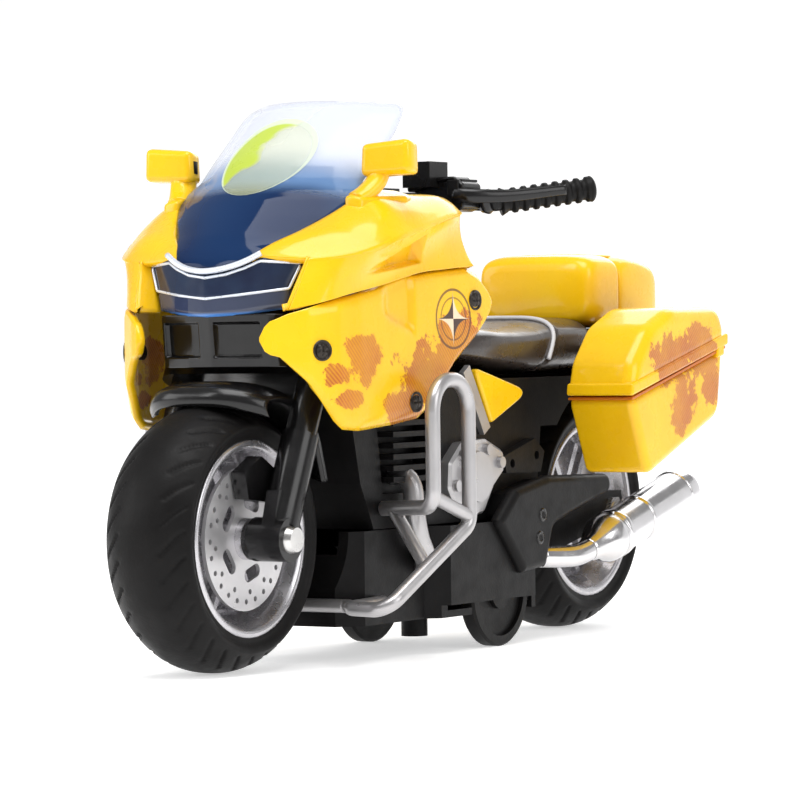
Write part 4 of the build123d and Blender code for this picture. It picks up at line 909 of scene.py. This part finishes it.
TANK_ROWS = [(-15.6, 7.0, 65.6, 62.2), (-12.0, 10.4, 66.8, 60.8), (-6.0, 12.2, 66.0, 53.0), (-2.0, 12.8, 63.2, 49.6),
             (1.6, 12.6, 59.0, 48.6), (4.6, 11.6, 56.0, 51.4), (5.8, 10.6, 54.8, 53.2)]
BACKREST_ROWS = [(49.3, 9.6, 66.0, 58.4), (49.7, 11.0, 67.6, 57.0), (50.8, 11.8, 68.6, 56.0), (53.0, 12.2, 69.0, 55.6),
                 (58.0, 12.2, 69.1, 55.5), (60.0, 12.1, 68.8, 55.5), (60.7, 11.6, 68.2, 56.0)]
CASE_ROWS = [(61.0, 11.4, 67.4, 56.0), (61.5, 12.0, 68.2, 55.5), (65.0, 12.2, 69.0, 55.5), (70.0, 12.1, 68.8, 55.5),
             (74.6, 11.7, 67.8, 55.7), (77.0, 10.8, 66.0, 56.6), (78.4, 9.2, 63.4, 58.2)]
PAD_ROWS = [(56.5, 7.6, 69.15, 68.2), (57.5, 8.2, 69.2, 68.2), (64.0, 8.2, 69.2, 68.2), (65.4, 7.4, 69.1, 68.2)]
loft("fuel_tank_cover", "fuel_tank", TANK_ROWS, "black_gloss", (0.6, 0.7), 44, 40)
loft("backrest_pad", "backrest", BACKREST_ROWS, "yellow_shell", (0.4, 0.4), 40, 56)
loft("top_case_shell", "top_case", CASE_ROWS, "yellow_shell", (0.4, 0.4), 40, 56)
loft("top_case_pad", None, PAD_ROWS, "yellow_shell", (0.5, 0.5), 40, 56)

LID = [(29.8, 43.6), (66.8, 52.4), (66.8, 55.4), (64.8, 59.1), (46.0, 58.9), (37.4, 55.5), (31.6, 49.4)]
CASE = [(30.3, 42.8), (36.2, 29.9), (38.0, 29.4), (64.2, 39.2), (66.1, 51.5)]


def pannier(name, side):
    """Tub, lid, the band and seam where they meet, and a latch."""
    body = name.replace("pannier", "pannier_body")
    lid = name.replace("pannier", "pannier_lid")
    pillow(name + "_tub", CASE, side * 17.9, side * 30.8, 0.6, 1.6, "yellow_case", body, [1.5, 3.0, 3.0, 4.5, 1.5])
    pillow(name + "_cover", LID, side * 17.9, side * 31.0, 0.8, 2.6, "yellow_case", lid,
           [1.0, 1.0, 3.0, 6.0, 10.0, 8.0, 5.0], steps=9)
    band = [(29.6, 43.3), (67.0, 52.1), (67.1, 54.3), (29.9, 45.5)]
    pillow(name + "_band", band, side * 17.8, side * 31.3, 0.4, 0.5, "yellow_case", None, 0.5, slot="yellow_shell")
    latch = [(62.6, 49.6), (65.4, 50.2), (65.5, 53.2), (62.8, 52.8)]
    pillow(name + "_latch", latch, side * 30.0, side * 31.28, 0.2, 0.4, "yellow_shell", None, 0.4)
    seam = [(30.2, 42.6), (66.4, 51.4), (66.4, 51.9), (30.2, 43.1)]
    pillow(name + "_seam", seam, side * 17.9, side * 30.95, 0.1, 0.1, "seam_orange", None, 0.15,
           slot="yellow_shell")


both_sides(pannier, "pannier")


def side_cover(name, side):
    """Yellow triangle behind the tank."""
    pillow(name + "_plate", [(4.7, 49.0), (24.2, 44.4), (10.5, 39.0)], side * 12.4, side * 13.7, 0.2, 0.5,
           "yellow_shell", name, [1.0, 1.6, 1.0])


both_sides(side_cover, "side_cover")

# (x, radius) of the ring round a screw
EYE = [(17.55, 0.55), (17.75, 0.75), (17.75, 1.15), (17.3, 1.3)]


def heel_guard(name, side):
    """Plate over the swing arm pivot, its inner rib and two screw eyes."""
    outer = [(6.0, 22.0), (12.6, 27.4), (24.0, 29.4), (46.6, 29.0), (47.0, 25.8), (25.6, 20.6), (22.8, 13.4),
             (14.8, 12.6)]
    pillow(name + "_plate", outer, side * 15.4, side * 17.6, 0.3, 1.3, "black_frame", name,
           [1.0, 1.0, 2.0, 1.8, 1.8, 4.0, 1.5, 1.0])
    rib = [(9.8, 23.0), (12.4, 26.6), (24.0, 28.8), (28.0, 28.8), (28.0, 23.0), (20.0, 16.0), (12.0, 16.4)]
    pillow(name + "_rib", rib, side * 12.4, side * 15.6, 0.2, 0.4, "black_frame", None, 0.6)
    for k, (y, z) in enumerate(((21.2, 22.6), (20.2, 18.6))):
        revolve(f"{name}_eye_{k}", mirrored(EYE, side), y, z, 24, "black_gloss", slot="black_frame")


both_sides(heel_guard, "heel_guard")

# ---- grips and silencer
GRIP_IN, GRIP_END, GRIP_RIBS = (20.6, 0.6, 77.2), (33.6, 12.8, 79.6), 9
grip_verts, grip_faces = [], []
for side, _ in SIDES:
    a, b = (Vector(p) for p in mirrored((GRIP_IN, GRIP_END), side))
    way = (b - a).normalized()
    u = way.cross(Vector((0, 0, 1))).normalized()
    v = u.cross(way)
    count, sides = 90, 20
    base = len(grip_verts)
    length = (b - a).length
    for i in range(count):
        s = i / (count - 1)
        rib = 0.5 + 0.5 * math.sin(2 * math.pi * GRIP_RIBS * s)
        r = 1.78 + 0.42 * step(rib, 0.25, 0.75)
        if s < 0.06:
            r = 2.45 - 0.5 * s / 0.06
        if s > 0.94:
            r = 2.3 * math.sqrt(max(0.05, 1 - ((s - 0.94) / 0.062) ** 2))
        p = a + way * (1.0 + (length - 1.0) * s)
        for k in range(sides):
            t = 2 * math.pi * k / sides
            grip_verts.append(tuple(p + u * r * math.cos(t) + v * r * math.sin(t)))
    grip_faces += [tuple(q + base for q in f) for f in grid_faces(count, sides, wrap=True)]
    grip_faces += [tuple(range(base, base + sides)), tuple(range(base + (count - 1) * sides, base + count * sides))]
closed("grips_ribbed", grip_verts, grip_faces, "black_soft", "grips")

PIPE_A, PIPE_B = Vector((17.8, 37.0, 15.6)), Vector((17.8, 73.0, 25.0))
way = (PIPE_B - PIPE_A).normalized()
u = Vector((1, 0, 0))
v = way.cross(u)
long = (PIPE_B - PIPE_A).length
# (distance along the silencer, radius)
CAN = [(0.0, 1.9), (0.6, 2.3), (2.2, 2.5), (3.6, 3.3), (5.6, 4.1), (6.4, 4.35), (7.6, 4.45), (8.2, 4.2), (9.0, 4.2),
       (9.2, 4.5), (10.4, 4.5), (10.6, 4.2), (18.4, 4.15), (18.6, 4.4), (19.2, 4.4), (19.4, 4.15), (30.6, 4.2),
       (33.6, 4.25), (33.8, 4.45), (long - 1.4, 4.45), (long - 0.4, 4.35), (long, 4.1), (long, 3.6), (long - 0.7, 3.4),
       (long - 5.0, 3.3), (long - 5.2, 0.1)]
can_verts, sides = [], 64
for s, r in CAN:
    for k in range(sides):
        t = 2 * math.pi * k / sides
        can_verts.append(tuple(PIPE_A + way * s + u * r * math.cos(t) + v * r * math.sin(t)))
bevel(closed("muffler_can", can_verts, grid_faces(len(CAN), sides, wrap=True), "plated_chrome", "muffler"), 0.15, 2)

HEADER = [(9.6, -17.0, 31.0), (12.6, -17.6, 30.9), (14.6, -18.1, 29.0), (15.1, -18.2, 25.0), (15.3, -17.2, 20.6),
          (15.2, -15.2, 17.6), (13.4, -12.6, 15.6), (9.6, -10.4, 14.8)]
for side, tag in SIDES:
    tube("header_pipe_" + tag, mirrored(HEADER, side), 1.75, "silver_paint",
         "exhaust_pipes" if side > 0 else None, slot="plated_chrome", count=60, sides=20)
tube("link_pipe", [(14.0, 26.4, 14.9), (15.6, 30.0, 14.7), (17.2, 33.6, 14.8), (17.8, 37.2, 15.6)], 2.0,
     "plated_chrome", count=30, sides=24)

tube("crash_bar_crossing", [(15.4, -39.4, 9.9), (13.0, -36.4, 9.9), (10.6, -35.5, 9.9), (-10.6, -35.5, 9.9),
                            (-13.0, -36.4, 9.9), (-15.4, -39.4, 9.9)], 1.15, "silver_paint", count=60, sides=18)

# ---- handlebar housings
def block(name, corners, depth, mat, soft):
    """Slab given by a front-view outline (x, z) and its front and back y, with softened edges."""
    y0, y1 = depth
    verts = [(x, y0, z) for x, z in corners] + [(x, y1, z) for x, z in corners]
    n = len(corners)
    faces = [tuple(range(n)), tuple(range(n, 2 * n))[::-1]]
    faces += [(i, (i + 1) % n, n + (i + 1) % n, n + i) for i in range(n)]
    return bevel(closed(name, verts, faces, mat, body="fork", slot="black_gloss", smooth=False), soft, 3)


# name, front outline, y range, material, edge softness
HOUSINGS = (
    ("switch_box", ((9.4, 76.6), (9.6, 79.8), (11.0, 81.0), (18.4, 81.0), (19.4, 80.2), (19.4, 76.2), (17.6, 75.6),
                    (10.6, 75.6)), (-8.0, -1.8), "black_gloss", 0.5),
    ("fluid_cup", ((9.0, 79.0), (9.4, 83.6), (13.4, 84.4), (14.0, 83.6), (13.4, 80.0)), (-9.6, -5.6), "black_satin",
     0.5),
    ("cup_cover", ((10.4, 80.7), (10.6, 81.5), (17.8, 81.6), (18.4, 80.9)), (-8.4, -3.4), "black_gloss", 0.3),
    ("clamp_plate", ((16.4, 78.3), (16.4, 81.0), (18.6, 81.1), (18.7, 78.3)), (-8.5, -7.8), "black_satin", 0.2),
)
BAR_COLLAR = [(19.2, 0.4), (19.3, 2.0), (20.3, 2.2), (21.0, 1.6), (21.0, 0.4)]
LEVER = [(17.4, -8.2, 78.4), (20.6, -7.4, 78.2), (25.2, -2.8, 78.2), (30.6, 3.4, 79.0), (32.0, 5.2, 79.2)]
for side, tag in SIDES:
    for name, corners, depth, mat, soft in HOUSINGS:
        block(f"{name}_{tag}", mirrored(corners, side), depth, mat, soft)
    revolve("bar_collar_" + tag, mirrored(BAR_COLLAR, side), -1.0, 77.4, 32, "black_gloss", body="fork")
    tube("lever_blade_" + tag, mirrored(LEVER, side), [1.15, 0.75], "black_gloss", "levers" if side > 0 else None,
         body="fork", slot="black_gloss", count=40, sides=14, flat=(0.55, 1.15))

# ---- CAD nodes that stay
# width of the rounded edges of the CAD nodes that show
SOFTEN = {
    "belly_pan": 0.5, "frame_left": 0.5, "frame_right": 0.5, "engine_block": 0.2, "swingarm": 0.6, "tail_body": 0.8,
    "fork_yoke": 0.5, "brake_caliper": 0.5, "handlebar": 0.4, "dashboard": 0.3, "clutch_cover_left": 0.2,
    "clutch_cover_right": 0.2, "tail_light": 0.3, "steering_head": 0.2, "motor_case_left": 0.3,
    "motor_case_right": 0.3, "frame_struts": 0.2, "front_axle": 0.2, "rear_axle": 0.2, "fork_left": 0.3,
    "fork_right": 0.3, "front_rim": 0.15, "rear_rim": 0.15,
}
for node, obj in NODES.items():
    if obj.hide_render:
        continue
    for s in obj.material_slots:
        s.material = M[SLOT_OF[node]]
    if node in SOFTEN:
        bevel(obj, SOFTEN[node], 2, 40)

# ---- floor, light and camera
FLOOR_FRONT, FLOOR_BACK, FLOOR_HALF, SWEEP_FROM = -1.6, 1.8, 3.0, 0.9
floor_rows = []
for i in range(60):
    y = FLOOR_FRONT + (FLOOR_BACK - FLOOR_FRONT) * i / 59
    floor_rows.append((y, 1.4 * max(0.0, y - SWEEP_FROM) ** 2))
mesh = bpy.data.meshes.new("floor")
mesh.from_pydata([(x, y, z) for y, z in floor_rows for x in (-FLOOR_HALF, FLOOR_HALF)], [],
                 [(2 * i, 2 * i + 1, 2 * i + 3, 2 * i + 2) for i in range(59)])
mesh.polygons.foreach_set("use_smooth", [True] * len(mesh.polygons))
floor = bpy.data.objects.new("floor", mesh)
bpy.context.scene.collection.objects.link(floor)
mesh.materials.append(plain("floor_paper", (0.9, 0.9, 0.9), 0.7, 0.04, 0.01, 0.1, 900.0, 30.0,
                            Emission_Color=(1, 1, 1, 1), Emission_Strength=0.5))


def area(name, where, aim, size, power, size_y=None):
    """Soft box at a place in metres, aimed at a point."""
    light = bpy.data.lights.new(name, "AREA")
    light.energy = power
    light.size = size
    if size_y:
        light.shape = "RECTANGLE"
        light.size_y = size_y
    obj = bpy.data.objects.new(name, light)
    obj.location = where
    obj.rotation_euler = (Vector(aim) - Vector(where)).to_track_quat("-Z", "Y").to_euler()
    bpy.context.scene.collection.objects.link(obj)


CENTRE = (0, 0, 0.045)
area("key", (0.12, -0.22, 0.75), CENTRE, 0.55, 5.4)
area("left_box", (-0.75, -0.55, 0.35), CENTRE, 0.5, 2.4)
area("front_strip", (-0.30, -0.60, 0.50), (0.0, -0.055, 0.045), 0.12, 0.9, size_y=0.4)
area("right_box", (0.85, -0.15, 0.40), CENTRE, 0.5, 2.4)
area("back_box", (-0.2, 0.85, 0.55), CENTRE, 0.6, 3.0)

scene = bpy.context.scene
world = bpy.data.worlds.new("studio")
world.use_nodes = True
background = world.node_tree.nodes["Background"]
background.inputs["Color"].default_value = (1.0, 1.0, 1.0, 1.0)
background.inputs["Strength"].default_value = 0.36
scene.world = world
scene.view_settings.view_transform = "Standard"

CAM_PLACE = (0.3804, -0.6167, 0.0556)
CAM_YAW, CAM_PITCH, CAM_ROLL = math.radians(31.58), math.radians(0.97), math.radians(-0.74)
cam_data = bpy.data.cameras.new("camera")
cam_data.lens, cam_data.sensor_width = 187.0, 36.0
cam_data.clip_start, cam_data.clip_end = 0.01, 20.0
camera = bpy.data.objects.new("camera", cam_data)
look = Vector((-math.sin(CAM_YAW) * math.cos(CAM_PITCH), math.cos(CAM_YAW) * math.cos(CAM_PITCH), -math.sin(CAM_PITCH)))
right = Vector((math.cos(CAM_YAW), math.sin(CAM_YAW), 0.0))
up = right.cross(look)
cam_x = right * math.cos(CAM_ROLL) + up * math.sin(CAM_ROLL)
cam_y = -right * math.sin(CAM_ROLL) + up * math.cos(CAM_ROLL)
turn = Matrix((cam_x, cam_y, -look)).transposed()
camera.matrix_world = Matrix.Translation(CAM_PLACE) @ turn.to_4x4()
scene.collection.objects.link(camera)
scene.camera = camera
